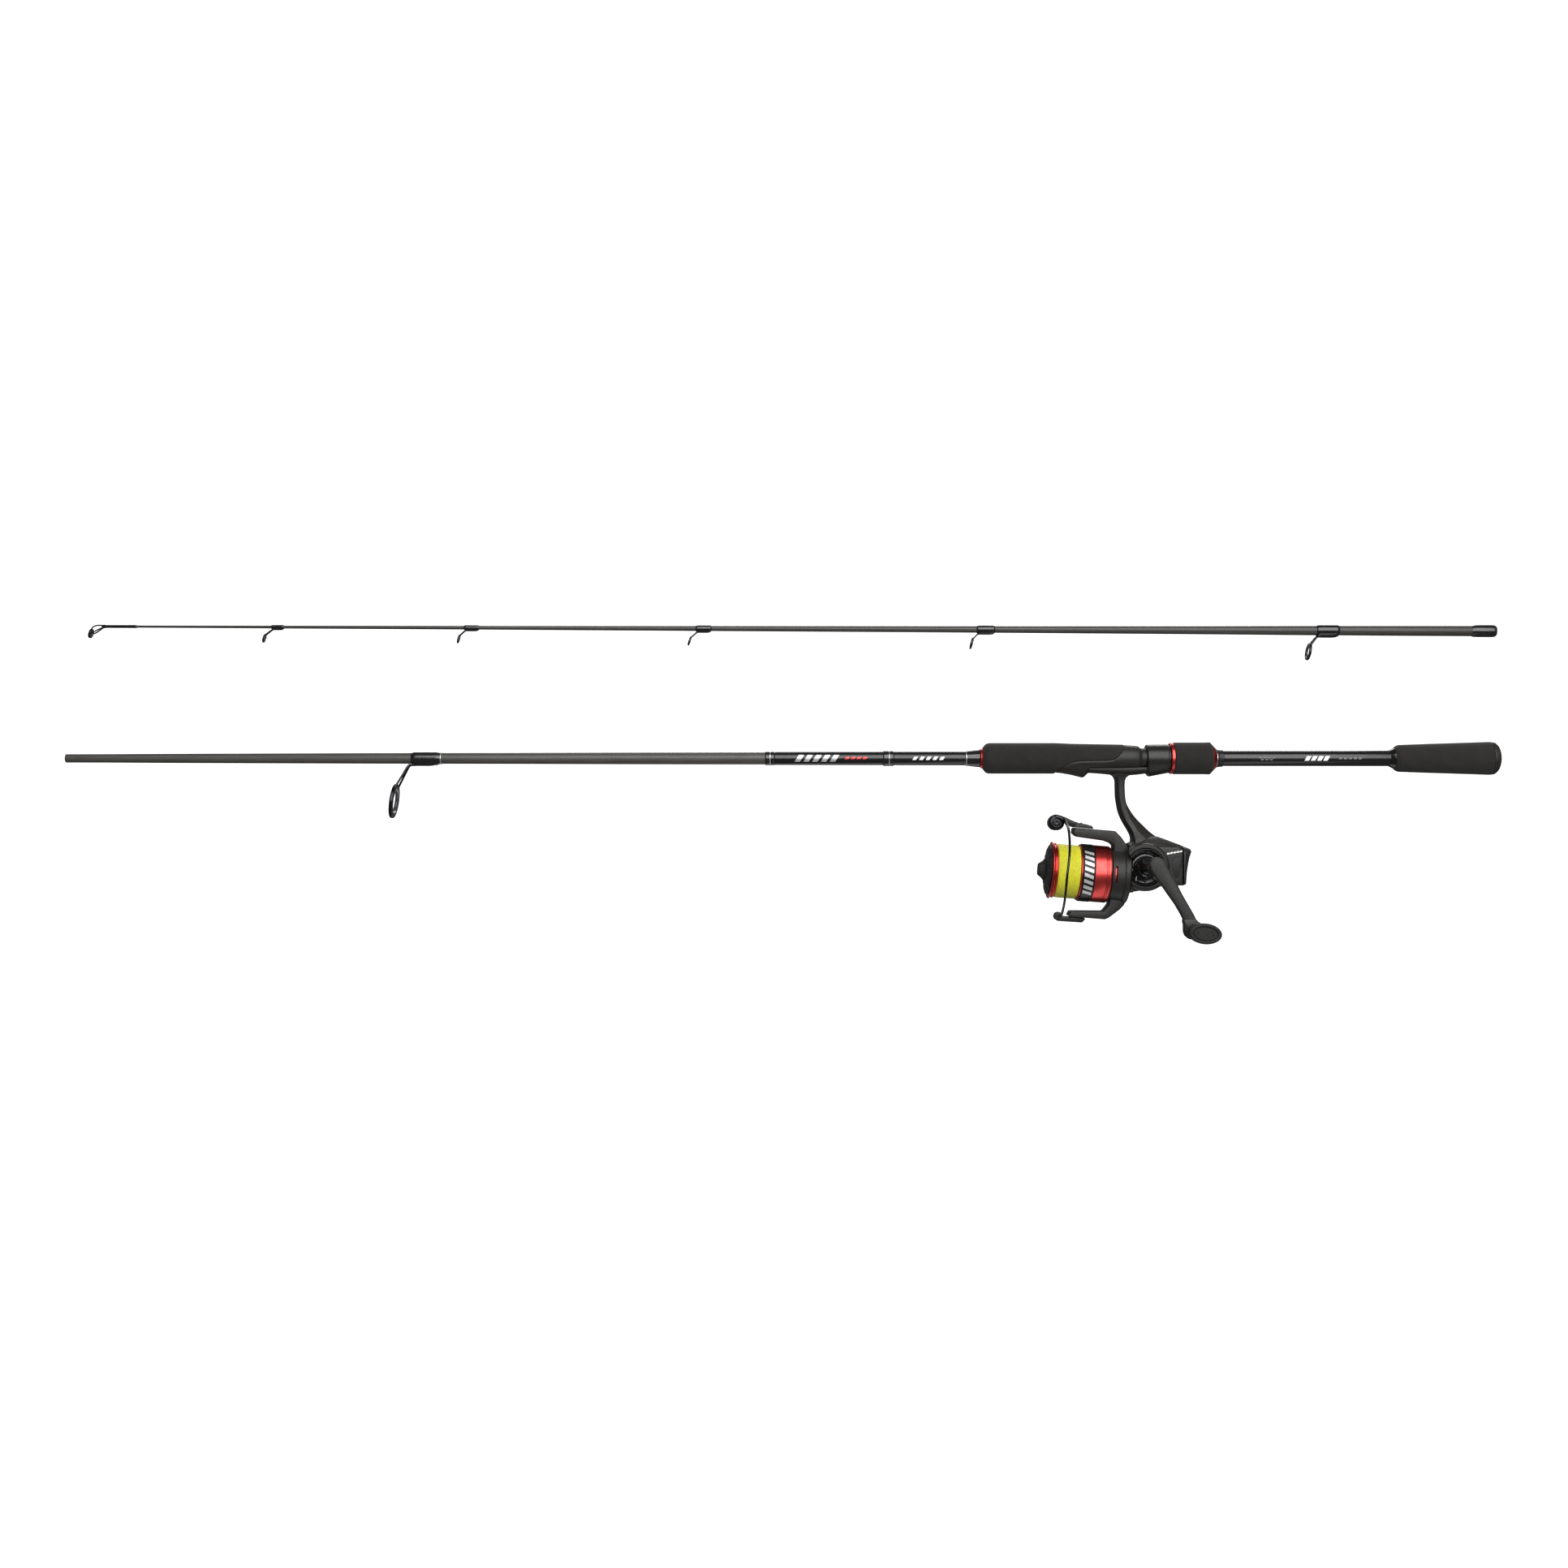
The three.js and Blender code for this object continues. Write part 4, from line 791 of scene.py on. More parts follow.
def build_tip():
    bore = [(0, 3.5), (-81, 3.25), (-110, 2.2), (-111, 0)]
    piece("tip_blank_matt", lathe([(-1083, 0), *TIP_BLANK, *bore], 60, 0.15), "tip_section", tip_carbon,
          ["tip_blank"], TIP)
    ferrule = [(-19.2, 3.7), (-19.2, 4), (-17, 4.62), (-14, 4.75), (-3, 4.78), (-1, 4.6), (-0.5, 4.2),
               (-0.5, 3.85)]
    piece("ferrule_thread", lathe(ferrule, 60, 0.5), "tip_section", epoxy, ["ferrule_wrap"], TIP)
    ring_place = place_at(RING_X, 0, -RING_DROP, 0.25)
    hoop = moved(lathe([(-0.85, 2.65), (-0.85, 3.75), (0.85, 3.75), (0.85, 2.65)], 48, 0.35), ring_place)
    sleeve = lathe([(-1083.6, 0), (-1083.6, 0.9), (-1082.6, 1.15), (-1082.4, 1.45), (-1080.8, 1.45),
                    (-1080.6, 1.2), (-1063, 1.2), (-1062.5, 1.05), (-1062.5, 0)], 40, 0.2)
    bar = 0.55
    crown = tube([(-1081.5, 0, 0.6), (-1085.2, 0, 0.95), (-1088.6, 0, 0.5), (-1091, 0, -1),
                  (RING_X + 0.6, 0, -2.4)], bar, 12)
    struts = [tube([(-1081.5, side * 0.5, -0.3), (-1085, side * 1.9, -2.2), (-1089, side * 3.1, -4.6),
                    (RING_X + 0.6, side * 3.3, -RING_DROP)], bar, 12) for side in (-1, 1)]
    piece("tip_top_wirework", merge(hoop, sleeve, crown, *struts), "tip_section", black_metal, ["tip_top"],
          TIP)
    insert = lathe([(-0.85, 2), (-0.85, 2.55), (0.85, 2.55), (0.85, 2), (0, 1.5)], 48, 0.3, 4)
    piece("tip_top_insert", moved(insert, ring_place), "tip_section", ceramic, ["tip_top_ring"], TIP)
    piece("tip_top_thread", thread_wrap(-1063.5, -1056, 0.78, 0.8, 0.5), "tip_section", epoxy, (), TIP)


# ---------- reel ----------
ARM_OUT = 34.3  # outer face of the rotor's arms, from the spool axis
FOOT = [  # x, half width, edge, bottom, half width of the bottom
    (-31, 4.2, -8.6, -9.4, 3), (-30, 5.4, -8.9, -10.2, 3.4), (-24.6, 6.5, -9.3, -11.3, 3.5),
    (-14.8, 6.5, -9.5, -12, 3.5), (-7.6, 6.5, -9.6, -12.7, 3.8), (0, 6.5, -9.7, -13.5, 4.4),
    (8.5, 6.5, -9.6, -13.1, 3.8), (14.2, 6.5, -9.4, -12.6, 3.5), (20.6, 6.4, -9.2, -11.7, 3.4),
    (26, 5.4, -8.8, -10.1, 3.2), (27, 4.4, -8.4, -9.3, 2.8)]
STEM = [  # z, left edge, left bevel, right bevel, right edge, half width
    (-12.2, -8.4, -6.4, 6.8, 9.4, 6.3), (-13.1, -6.6, -4.4, 5, 7.4, 6.1), (-14.2, -5.3, -3, 3.6, 5.5, 5.8),
    (-15.6, -4.5, -2.2, 2.8, 4.4, 5.6), (-17.5, -3.9, -1.7, 2.2, 3.7, 5.4), (-22.4, -3.8, -1.4, 2, 3.5, 5.2),
    (-30.2, -3.5, -1, 2.5, 3.9, 5.2), (-35, -2.8, -0.3, 3.3, 4.9, 5.2), (-39, -2.1, 0.6, 4.5, 6.9, 5.3),
    (-43.4, -0.8, 2, 5.8, 9.7, 5.6), (-47.9, 1.2, 3.8, 7.6, 13.4, 6), (-51.9, 3.5, 6.2, 10, 17.4, 6.8),
    (-55.9, 6, 8.4, 12.4, 21.4, 8), (-59.3, 7.9, 9.4, 15.4, 25.6, 9.6), (-62, 8.7, 9.9, 18.4, 29.6, 11),
    (-64.6, 8.9, 10, 21, 35, 12), (-68, 8.6, 10, 23, 40, 12.4), (-72, 8.6, 10, 26, 40, 12.4)]
SIDE_EDGE = [(4, -71), (5.7, -67.4), (19.2, -63.1), (26.8, -62.9), (36.5, -66.4), (46.4, -70.4),
             (46.4, -97.8), (30, -98.8), (12, -102.4), (4, -103.6)]
SIDE_FACE = [(4.4, -72), (7, -69.8), (20.4, -68.3), (22.4, -67.9), (42.8, -68.5), (45.6, -71.4),
             (45.6, -96.9), (30, -98), (12.2, -101.6), (4.6, -102.6)]
CREST = [(4, -70), (6, -66.2), (17, -61.2), (27.4, -60.3), (35.7, -63.3), (46.4, -67.4), (46.4, -98.4),
         (30, -99.2), (12, -102.6), (4, -103.8)]
REAR = [(46.6, -67.5), (50, -68.9), (53.4, -70.3), (54.3, -72.2), (51.8, -79.5), (49.6, -87.5), (48.8, -95),
        (48.3, -97.9), (46.6, -98.8)]
REAR_FACE = [(46.6, -72), (47.8, -72.6), (48.3, -73.2), (48.2, -74), (47.9, -80), (47.6, -88), (47.5, -95),
             (47.3, -96.4), (46.6, -96.8)]
REAR_CREST = 47  # behind this the rear cover's rim bulges outward
PANEL = [(38.2, -76.2), (45.4, -74.9), (44.4, -84), (42.4, -92.6), (39.6, -93.2), (36.4, -85)]
PANEL_MIDDLE = (40.9, -83.8)
# All that the turning rotor passes through, from the spool's axis out.
SWEEP = [(-60, 0), (-60, 37), (-12, 37), (-7.5, 31.5), (0.4, 22.6), (0.4, 0)]
UPPER_ARM = [(-45.2, ARM_OUT), (-12.9, ARM_OUT), (-8.1, 30.1), (-0.5, 21), (-0.5, 14), (-13.3, 14),
             (-13.3, 22.9), (-15.6, 24.7), (-20.5, 26), (-42, 27.4), (-45.4, 29.7)]
LOWER_ARM = [(-44.4, -34.5), (-15.6, -34.5), (-12.6, -32.9), (-4.9, -26), (-2, -22.5), (-0.5, -18.5),
             (-0.5, -14), (-13.3, -14), (-13.3, -22.9), (-16, -27), (-17.4, -28.4), (-42.5, -30.2)]
CAP_SHIFT = place_at(-0.6, 0, 0.4)  # the roller's cap stands a little ahead of its pin
BAIL_LEVER = [(-29.8, 34.6), (-31.5, 36.8), (-34, 37.7), (-40.5, 38.3), (-45.6, 39.8), (-50, 41.6),
              (-54.5, 42.9), (-57.2, 43.4), (-59.8, 43.2), (-62.2, 42), (-64, 40), (-64.8, 37.6),
              (-64.6, 35), (-63.4, 32.9), (-61.4, 31.4), (-58.8, 30.9), (-56.4, 31.4), (-54.4, 32.9),
              (-53, 35), (-52.4, 37.4), (-49, 36), (-45.9, 34.6)]
BAIL_BOW = [(-59.6, -3.3, 41.6), (-56, -4, 41), (-52.6, -7, 38.6), (-51.5, -13, 35.8), (-51.4, -22, 31.5),
            (-52, -35, 22), (-53, -44, 12), (-54, -47.4, -1), (-53.5, -43.5, -14), (-52.2, -32, -24.6),
            (-50.6, -14, -32.8), (-50.2, -3.2, -34.4)]
BAIL_HOLDER = [(-29.4, -34.8), (-32.4, -38.6), (-51.3, -38.9), (-53.8, -37.6), (-54.6, -35.2),
               (-53.5, -32.6), (-51, -31.8), (-48.6, -32.4), (-47.8, -34.8)]
CRANK_BLADE = [(16.9, -74.1), (20.6, -75.2), (23, -77.9), (24.6, -81.8), (26.2, -85), (29.3, -89.9),
               (32, -95.4), (35.2, -101.9), (39.6, -109.5), (43.9, -117), (46.4, -122.3), (51, -125.4),
               (53, -130), (51, -134.4), (46, -136), (40.6, -134), (37.8, -129.5), (36.6, -124.6),
               (35.8, -120.3), (33.6, -116), (29.8, -109.5), (24.4, -101.9), (20.6, -96.4), (18.4, -93.7),
               (15.7, -89.9), (12, -84.5), (10.4, -79.6), (12.4, -75.8)]
CRANK_TIP = [(35.2, -120.2), (45, -120), (46.8, -122), (51.4, -125), (53.4, -130), (51.4, -134.7),
             (46, -136.6), (40, -135.2), (37.4, -132.9), (36.3, -129.9), (36.3, -125)]
KNOB_SHAPE = [(-64.4, 5.2, 5), (-64.9, 5.7, 5.5), (-67, 5.9, 5.6), (-70, 5.8, 5.5), (-72, 6.1, 5.6),
              (-76, 7.8, 6.1), (-80, 9.8, 6.6), (-84, 11.2, 7.1), (-88, 12.2, 7.6), (-90, 12.3, 7.6),
              (-91.3, 11.9, 7.3), (-92, 11, 6.6), (-92.1, 10, 5.9), (-91.7, 9.2, 5.3), (-91.2, 9, 5.1)]
PRINT_BARS = 5
PRINT_START = (33.6, -74.1)
VANES = 10
DRAG_RIBS = 18
BRAID_FRONT = -56.3
BRAID_REAR = -39.4
BRAID_PITCH = 0.42


def layered(levels):
    """Skin over (y, outline) levels with equally many corners."""
    return loft([[Vector((x, y, z)) for x, z in outline] for y, outline in levels])


def drum_bar(radius, x0, x1, a0, a1, shift, thick=0.07, steps=5):
    """A thin bar along a drum of that radius, its angle shifting as it goes."""
    loops = []
    for t in stretch(0, 1, steps):
        angles = stretch(a0 + shift * t, a1 + shift * t, 4)
        x = x0 + (x1 - x0) * t
        loops.append([round_point(x, radius, a) for a in angles]
                     + [round_point(x, radius + thick, a) for a in reversed(angles)])
    return loft(loops)


def add_screw(name, body, place, radius=1.6):
    """A small domed screw with a cross slot, facing -X in its own frame."""
    head = lathe([(1, 0), (1, radius), (-0.5, radius), (-0.9, radius * 0.55), (-0.9, 0)], 28, 0.2)
    arm = radius * 0.55
    bar = slab([(-1.2, -0.22), (-0.5, -0.22), (-0.5, 0.22), (-1.2, 0.22)], -arm, arm, 0, 0, 1, 1)
    slots = [bare("slot", bar, place @ Matrix.Rotation(turn, 4, "X")) for turn in (0, math.pi / 2)]
    piece(name, head, body, steel_dark, place=place, cuts=slots)


def rotor_room():
    """Cutter for all that the turning rotor passes through."""
    return bare("sweep", lathe(SWEEP, 96, 0.3), SPOOL)


def works_rooms():
    """Cutters for the rooms of the drive gear, its axle and bearings, the oscillation gear and the shaft."""
    back_room = slab([(12, -76), (20, -70), (44.5, -73), (44.5, -96.6), (30, -96.8), (14, -99.6)],
                     -20, 12.5, 0, 0.1, 1, 1)
    return [round_cutter(3, 9, 12.5, HANDLE, 48), round_cutter(-20, 3.2, 9.6, HANDLE, 48),
            round_cutter(0, 30, 7.4, HANDLE, 48), bare("back_room", back_room),
            round_cutter(-14, 16, 5.2, SPOOL, 40)]


def build_housing():
    """Foot, stem, gearbox, side cover with its panel, and rear cover."""
    foot = [[Vector((x, y, z)) for y, z in [(-wide, -7), (-wide, edge), (-flat, low), (flat, low),
                                            (wide, edge), (wide, -7)]]
            for x, wide, edge, low, flat in FOOT]
    piece("reel_foot", loft(foot), "rod", plastic, ["reel_body"], soft=(0.5, 2, 25))

    levels = []
    for z, left, bevel, far_bevel, right, wide in spline(STEM, 3):
        edge = wide * 0.45
        half = [(left, -edge), (bevel, -wide), (far_bevel, -wide), (right, -edge)]
        levels.append([Vector((x, y, z)) for x, y in half + [(x, -y) for x, y in reversed(half)]])
    piece("reel_stem", loft(levels), "rod", plastic, angle=24, soft=(0.45, 2, 28), cuts=[rotor_room()])

    inner_face = [(x * 0.98 + 0.5, z * 0.985 - 1.27) for x, z in SIDE_FACE]
    hull = layered([(-12.8, SIDE_EDGE), (-8, CREST), (7, CREST), (10.5, SIDE_EDGE), (15.4, SIDE_FACE),
                    (16, inner_face)])
    piece("reel_gearbox", hull, "rod", plastic, angle=24, soft=(0.5, 2, 18),
          cuts=[rotor_room(), *works_rooms()])

    cover = layered([(-13.1, SIDE_EDGE), (-15.5, SIDE_FACE), (-16, inner_face)])
    panel_cut = bare("panel_cut", slab(PANEL, -18, -15.5, 0, 1.6, 1))
    piece("reel_side_cover", cover, "rod", cover_plastic, ["side_cover"], angle=24, soft=(0.35, 2, 18),
          cuts=[panel_cut, round_cutter(-30, 0, 14.2, BOSS, 64), rotor_room()])
    middle_x, middle_z = PANEL_MIDDLE
    inner = [(middle_x + (x - middle_x) * 0.86, middle_z + (z - middle_z) * 0.93) for x, z in PANEL]
    piece("side_panel", slab(inner, -15.75, -15.2, 0.18, 1.4), "rod", dark_plastic)

    middle = [((x0 + x1) / 2 + (0.9 if x0 > REAR_CREST else 0), z0 * 0.62 + z1 * 0.38)
              for (x0, z0), (x1, z1) in zip(REAR, REAR_FACE)]
    rear = layered([(-15.7, REAR_FACE), (-13, middle), (-7, REAR), (7, REAR), (13, middle),
                    (15.7, REAR_FACE)])
    piece("reel_rear_cover", rear, "rod", plastic, ["rear_cover"], angle=24, soft=(0.5, 2, 18))


def build_bosses():
    """The round boss of the crank with its ring and vaned dish, the far boss, and the rotor's neck."""
    boss = lathe([(-12.9, 14.4), (-12.9, 18.8), (-17.6, 18.5), (-19.3, 17.7), (-20, 16.6), (-20, 14.9),
                  (-19.3, 14.4)], 96, 0.4)
    piece("cover_boss", boss, "rod", cover_plastic, place=BOSS, cuts=[rotor_room()])
    ring = lathe([(-13, 12.9), (-13, 14.2), (-19.5, 14.2), (-20.1, 13.95), (-20.1, 13.5), (-19.4, 13.3),
                  (-19.4, 12.9)], 96, 0.1)
    piece("cover_ring", ring, "rod", gloss_black, place=BOSS, cuts=[rotor_room()])
    dish = lathe([(-13, 7.5), (-13, 12.8), (-16.8, 12.8), (-17.2, 12.4), (-16.4, 9.8), (-16.8, 8.6),
                  (-18.6, 8.4), (-18.9, 7.5)], 72, 0.3)
    vanes = []
    for i in range(VANES):
        turn = Matrix.Rotation(TURN * (i + 0.3) / VANES, 4, "X")
        vane = [[Vector((y, side * wide, out)) for y, side in
                 [(-16, -1), (-top, -1), (-top, 1), (-16, 1)]]
                for out, wide, top in [(8.2, 0.35, 17.6), (10, 0.45, 18), (12.7, 0.7, 18.4)]]
        vanes.append(bare("vane", moved(loft(vane), turn @ Matrix.Rotation(0.3, 4, "Z")), BOSS))
    piece("cover_vanes", dish, "rod", gloss_black, place=BOSS, joins=vanes, cuts=[rotor_room()])

    far_boss = lathe([(15.5, 7.5), (15.5, 17.2), (16.6, 17), (17.5, 15.6), (17.5, 11.2), (16.9, 10.8),
                      (16.9, 7.5)], 96, 0.4)
    piece("right_boss", far_boss, "rod", plastic, place=HANDLE, cuts=[rotor_room()])
    turned("reel_neck", [(-10, 10.8), (-10, 15.5), (1.4, 15.5), (1.4, 12.5), (5, 12.5), (5, 5.4),
                         (-2.4, 5.4), (-2.4, 7.9), (-6, 7.9), (-6, 10.8)], dark_plastic, place=SPOOL)


def build_cover_details():
    """Plain bars where a reel of this kind has its print, and three screws on the far side."""
    bars = []
    for i in range(PRINT_BARS):
        x = PRINT_START[0] + 2.45 * i
        z = PRINT_START[1] + 0.42 * i
        mark = [(x, z), (x + 2, z + 0.3), (x + 2.3, z + 1.5), (x + 0.3, z + 1.2)]
        bars.append(slab([(x * 0.99, z) for x, z in mark], -16.06, -15.9, 0, 0.1, 1, 1))
    piece("cover_bars", merge(*bars), "rod", white_print)
    for i, (x, z) in enumerate([(42.5, -94.8), (9, -98.6), (34, -70.8)], 1):
        add_screw(f"cover_screw_{i}", "rod", place_at(x, 15.8, z) @ BACKWARD)


def build_rotor():
    drum = lathe([(-14.9, 4.3), (-14.9, 19.2), (-14.3, 20.1), (-5, 20.4), (-4.5, 21.2), (-1.1, 21.4),
                  (-0.3, 20.7), (-0.3, 16.3), (-10.6, 16.3), (-10.6, 4.3)], 96, 0.5)
    window = slab([(-12.7, -5.2), (-10.9, -5.2), (-10.9, 7.8), (-12.7, 7.8)], -25, -12, 0, 0.6, 1)
    piece("rotor_drum", drum, "rotor", plastic, ["rotor"], SPOOL, cuts=[bare("window", window, SPOOL)])
    turned("rotor_window_ring", [(-12.2, 16.6), (-12.2, 17.6), (-11.2, 17.6), (-11.2, 16.6)], red, "rotor",
           place=SPOOL, sides=96, corner=0.1)
    for name, outline in [("rotor_arm_upper", UPPER_ARM), ("rotor_arm_lower", LOWER_ARM)]:
        piece(name, slab(outline, -7.5, 7.5, 1.5, 1.6, 3, 3), "rotor", plastic, place=SPOOL, angle=28,
              cuts=[round_cutter(-10.6, 2, 16.3, SPOOL, 72)])
    for name, cover in [("arm_cover_upper", [(-43, 29), (-17, 28), (-17, 32.4), (-43, 32.6)]),
                        ("arm_cover_lower", [(-41, -31.3), (-19, -30.2), (-19, -33.2), (-41, -33.2)])]:
        piece(name, slab(cover, 7.2, 7.8, 0.25, 1.2), "rotor", dark_plastic, place=SPOOL)


def build_bail():
    lever = slab(BAIL_LEVER, 1.9, 4.6, 0.7, 1, 2, 3)
    bridge = slab([(-29.8, 34.6), (-31.5, 36.8), (-34, 37.7), (-40.5, 38.3), (-45.6, 39.6), (-51, 41.2),
                   (-52, 38.2), (-45.9, 34.6)], -1.2, 2.4, 0.6, 1, 2, 3)
    pad = slab([(-29.4, 34.6), (-31.5, 37), (-40, 38.1), (-43.4, 38), (-45.8, 34.6)], -6.6, 6.6, 1.1, 0.8)
    piece("bail_lever", merge(lever, bridge, pad), "bail", plastic, ["bail_arm"], SPOOL)
    add_screw("bail_screw", "bail", SPOOL @ place_at(-38, 5.6, 37.4) @ BACKWARD, 1.3)
    cap = lathe([(-5, 0), (-5.3, 1.2), (-5.3, 2.4), (-4.9, 2.7), (-4.9, 3.4), (-5.2, 3.7), (-5, 4.8),
                 (-4.2, 6.1), (-1.9, 6.1), (-1.9, 0)], 60, 0.15)
    pin = lathe([(-3, 0), (-3, 1.6), (4.9, 1.6), (4.9, 0)], 32, 0.3)
    bow = tube(BAIL_BOW, [2, 1.9, 1.4, 1.15, 1, 0.95, 0.9, 0.9, 0.9, 0.95, 1, 1], 16, 8)
    roller_in_spool = SPOOL.inverted() @ ROLLER
    wire = merge(moved(cap, CAP_SHIFT @ roller_in_spool), moved(pin, roller_in_spool), bow)
    piece("bail_bow", wire, "bail", black_metal, ["bail_wire"], SPOOL, 40)
    piece("bail_holder_arm", slab(BAIL_HOLDER, -3.6, 3.6, 1, 1.2, 3, 3), "bail", plastic, ["bail_holder"],
          SPOOL)
    add_screw("holder_screw", "bail", SPOOL @ place_at(-33.6, -3.2, -36.4) @ ACROSS, 1.2)
    turned("line_roller_ring", [(-1.4, 1.9), (-1.4, 3.9), (-0.9, 3.9), (-0.3, 3.3), (0.4, 3.3), (1, 3.9),
                                (1.5, 3.9), (1.5, 1.9)], silver, "line_roller", ["line_roller"],
           ROLLER, 60, 0.25)


def build_spool():
    turned("spool_lip_ring", [(-60.9, 14.6), (-60.9, 21), (-60.6, 21.9), (-60, 22.1), (-59.3, 21.5),
                              (-58.9, 20.7), (-58.3, 20.6), (-57.8, 21.3), (-57.2, 21.4), (-56.8, 20.9),
                              (-56.6, 20), (-56.6, 14.6)], red, "spool", ["spool_lip"], SPOOL, 96, 0.2)
    turned("spool_core", [(-56.8, 10.2), (-56.8, 14.9), (-38, 14.9), (-38, 19.2), (-35.2, 19.2),
                          (-35.2, 6.5), (-33, 6.5), (-33, 2.7), (-52, 2.7), (-52, 10.2)], dark_plastic,
           "spool", ["spool"], SPOOL, 72, 0.2)
    turned("spool_edge", [(-39, 15), (-39, 21.3), (-38.6, 21.8), (-38, 21.8), (-37.8, 21), (-37.8, 15)],
           red, "spool", (), SPOOL, 96, 0.15)
    turned("spool_band_ring", [(-37.7, 18), (-37.7, 22), (-37.3, 22.4), (-29, 22.4), (-28.6, 22.1),
                               (-28.6, 18)], band_black, "spool", ["spool_band"], SPOOL, 96, 0.2)
    bars = [drum_bar(22.4, -36.6, -29.6, 2.24 + 0.215 * i, 2.36 + 0.215 * i, 0.09) for i in range(8)]
    piece("spool_bars", merge(*bars), "spool", silver_print, place=SPOOL)
    grooves = []
    for x in (-19.4, -18):
        grooves += [(x - 0.25, 22.1), (x, 21.85), (x + 0.25, 22.1)]
    turned("spool_skirt", [(-28.5, 20.8), (-28.5, 21.9), (-28.1, 22.1), *grooves, (-16.4, 22.1),
                           (-16.2, 21.7), (-15.6, 21.6), (-15.3, 21.3), (-15.3, 20.8)], red, "spool", (),
           SPOOL, 96, 0.1, 2)

    turns = int((BRAID_REAR - BRAID_FRONT) / BRAID_PITCH)
    winding = []
    for i in range(turns + 1):
        x = BRAID_FRONT + BRAID_PITCH * i
        swell = 20.75 + 0.12 * math.sin(i * 2.4) + 0.05 * math.sin(i * 5.1)
        swell -= 0.5 * math.exp(-i / 1.3) + 0.5 * math.exp(-(turns - i) / 1.3)
        winding += [(x, swell - 0.12), (x + BRAID_PITCH / 2, swell + 0.06)]
    winding = [(-56.5, 15.2), *winding, (-39.2, 20.2), (-39.2, 15.2)]
    piece("braid_turns", lathe(winding, 96, 0.05, 1), "spool", braid, ["line_winding"], SPOOL, 80)


def build_drag_knob():
    turned("drag_disc", [(-57.9, 3.2), (-57.9, 9.4), (-61.1, 9.4), (-61.1, 18.2), (-61.5, 18.9),
                         (-62, 18.8), (-63.3, 14.6), (-63.9, 12), (-64, 9), (-64, 3.2)], plastic,
           "drag_knob", ["drag_knob"], SPOOL, 96, 0.35)
    nose = [ellipse(x, wide, high, 40, 0.75) for x, wide, high in [
        (-61.8, 6.2, 11.5), (-63.6, 6, 11), (-64.2, 5.4, 9.9), (-65.2, 4.8, 8.3), (-66.6, 4.2, 6.7),
        (-68.2, 3.6, 5.5), (-69.3, 3.1, 4.8), (-69.8, 2.5, 4.1), (-69.95, 1.6, 3)]]
    piece("drag_grip", loft(nose), "drag_knob", plastic, place=SPOOL, angle=40,
          cuts=[round_cutter(-68, -55, 2.3, SPOOL)])
    rib = tube([(-61.5, 0, 18.7), (-62.1, 0, 18.6), (-63.3, 0, 14.8)], [0.25, 0.4, 0.25], 10, 3)
    ribs = [moved(rib, Matrix.Rotation(TURN * (i + 0.5) / DRAG_RIBS, 4, "X")) for i in range(DRAG_RIBS)]
    piece("drag_ribs", merge(*ribs), "drag_knob", plastic, place=SPOOL)


def build_crank():
    turned("crank_neck", [(-57, 0), (-57, 6.6), (-52, 6.1), (-42, 5.8), (-30, 6), (-27, 6.9), (-25.6, 8),
                          (-21.2, 8.2), (-20.4, 7.6), (-20.4, 0)], gloss_black, "handle", place=HANDLE,
           corner=0.6)
    for name, outline, near, far, corner, soft, look, replaces, angle in [
            ("crank_blade", CRANK_BLADE, -62, -56, 1.5, 1.3, plastic, ["handle_arm"], 30),
            ("crank_tip", CRANK_TIP, -62.5, -55.6, 1.8, 1.2, hood_plastic, (), 32)]:
        piece(name, slab(outline, near, far, 0, corner, 1, 3), "handle", look, replaces, angle=angle,
              soft=(soft, 3, 40), cuts=[round_cutter(-80, -30, 2.2, place_at(*KNOB_AXIS) @ ACROSS)])
    turned("screw_cap", [(19.8, 0), (19.8, 8.4), (20.4, 8.6), (24, 8.1), (25.2, 6.8), (25.4, 4.6),
                         (25.1, 4.2), (25.1, 0)], plastic, "handle", ["handle_screw_cap"], HANDLE, 60, 0.4)
    piece("screw_cap_grip", slab([(-7, -1.1), (7, -1.1), (7, 1.1), (-7, 1.1)], 24.2, 26.4, 0.5, 1), "handle",
          plastic, place=place_at(16.5, 0, -83, 0.7))

    knob = [ellipse(y, wide, high, 64) for y, wide, high in [*spline(KNOB_SHAPE, 2), (-91.2, 8.6, 4.9)]]
    piece("crank_knob", loft(knob), "knob", grip_rubber, ["handle_knob"], KNOB, 40,
          cuts=[round_cutter(-90.4, -50, 2.25, KNOB)])
    face = [ellipse(y, wide, high, 64) for y, wide, high in
            [(-90.9, 8.3, 4.7), (-91.7, 8.3, 4.7), (-91.95, 8, 4.4)]]
    holes = [round_cutter(-93, -91.2, 0.5, KNOB @ Matrix.Translation((0, side * 5.6, 0.5 * side)), 20, 0.05)
             for side in (-1, 1)]
    piece("knob_plate", loft(face), "knob", hood_plastic, ["knob_cap"], KNOB, cuts=holes)


def dress_inner_works():
    """The works inside keep their CAD shapes and get this file's materials."""
    looks = {
        brass: ["drive_gear", "oscillation_gear", "pinion_gear", "oscillation_slider"],
        steel: ["drive_bearing_left", "drive_bearing_right", "pinion_bearing", "one_way_clutch",
                "main_shaft", "rotor_nut", "bail_spring", "knob_spindle"],
        felt: ["drag_washers"], plastic: ["lock_nut"]}
    for look, names in looks.items():
        for name in names:
            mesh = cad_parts[name].data
            mesh.materials.clear()
            mesh.materials.append(look.material)


def build_reel():
    build_housing()
    build_bosses()
    build_cover_details()
    build_rotor()
    build_bail()
    build_spool()
    build_drag_knob()
    build_crank()
    dress_inner_works()


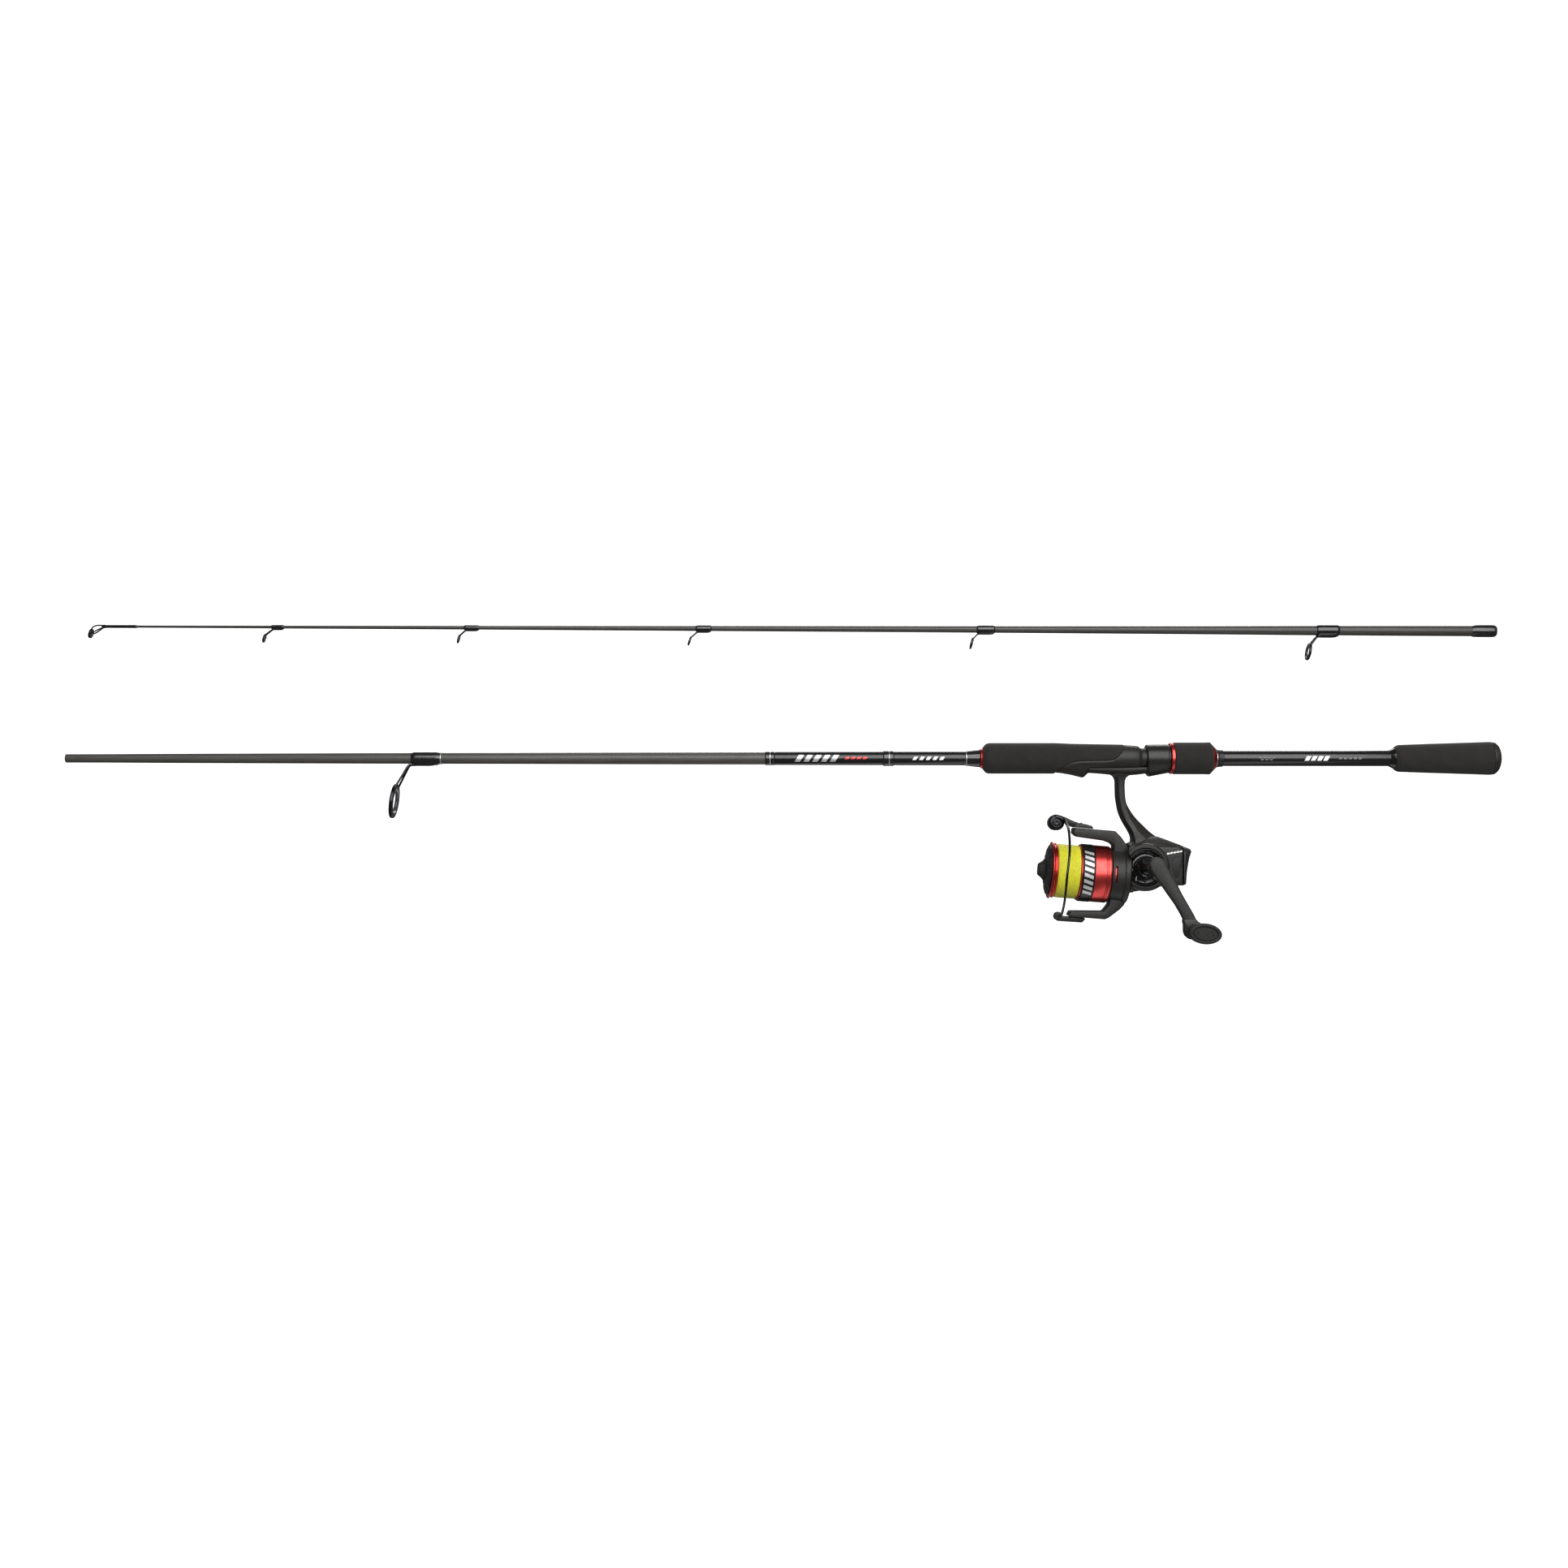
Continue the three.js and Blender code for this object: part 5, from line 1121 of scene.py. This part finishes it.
# ---------- stage ----------
CAMERA = (-261, -1400, -19.9)
SENSOR = 36
LENS = 41.34
FLOOR_Z = -900
FLOOR_RADIUS = 2600
LIT_POINT = (-100, 0, -20)  # where every lamp is aimed
LIGHTS = [  # name, place, width, height, watts
    ("key", (150, -1750, 950), 2300, 2100, 72), ("low", (0, 60, -860), 2000, 320, 2.5),
    ("back", (0, 1300, 1100), 1600, 500, 12)]


def glowing_material(name, strength):
    """A material that shines white, and its shader."""
    material = bpy.data.materials.new(name)
    material.use_nodes = True
    shader = material.node_tree.nodes["Principled BSDF"]
    shader.inputs["Emission Color"].default_value = (1, 1, 1, 1)
    shader.inputs["Emission Strength"].default_value = strength
    return material, shader


def link(name, data):
    item = bpy.data.objects.new(name, data)
    bpy.context.scene.collection.objects.link(item)
    return item


def build_floor():
    floor = bare("floor", lathe([(0, 0), (0, FLOOR_RADIUS), (-20, FLOOR_RADIUS), (-20, 0)], 96, 5),
                 Matrix.Translation((CAMERA[0], 0, FLOOR_Z)) @ Matrix.Rotation(-math.pi / 2, 4, "Y"))
    paper, shader = glowing_material("paper", 0.9)
    shader.inputs["Base Color"].default_value = (0.93, 0.93, 0.93, 1)
    shader.inputs["Roughness"].default_value = 0.9
    floor.data.materials.append(paper)
    floor.visible_diffuse = False
    floor.visible_glossy = False


def build_backdrop():
    """A white dome that only the camera sees."""
    dome = [(-6000, 0), (-5196, 3000), (-3000, 5196), (0, 6000), (3000, 5196), (5196, 3000), (6000, 0)]
    sky = bare("backdrop", lathe(dome, 48, 0), Matrix.Translation((CAMERA[0], 0, 0)))
    sky.data.materials.append(glowing_material("backdrop", 1.05)[0])
    for ray in ("diffuse", "glossy", "transmission", "shadow"):
        setattr(sky, "visible_" + ray, False)


def build_stage():
    world = bpy.data.worlds.new("studio")
    bpy.context.scene.world = world
    world.use_nodes = True
    world.node_tree.nodes["Background"].inputs["Color"].default_value = (1, 1, 1, 1)
    world.node_tree.nodes["Background"].inputs["Strength"].default_value = 0.16
    build_floor()
    build_backdrop()
    for name, spot, wide, high, power in LIGHTS:
        lamp = bpy.data.lights.new(name, "AREA")
        lamp.shape = "RECTANGLE"
        lamp.size = wide * MM
        lamp.size_y = high * MM
        lamp.energy = power
        item = link(name, lamp)
        item.location = Vector(spot) * MM
        item.visible_camera = False
        item.rotation_mode = "QUATERNION"
        item.rotation_quaternion = (Vector(LIT_POINT) - Vector(spot)).to_track_quat("-Z", "Y")
    lens = bpy.data.cameras.new("camera")
    lens.sensor_width = SENSOR
    lens.lens = LENS
    lens.clip_start = 0.05
    lens.clip_end = 50
    eye = link("camera", lens)
    eye.location = Vector(CAMERA) * MM
    eye.rotation_euler = (math.pi / 2, 0, 0)
    bpy.context.scene.camera = eye
    bpy.context.scene.view_settings.view_transform = "Standard"


build_stage()
build_blank()
build_prints()
build_grip_and_seat()
build_guides()
build_tip()
build_reel()
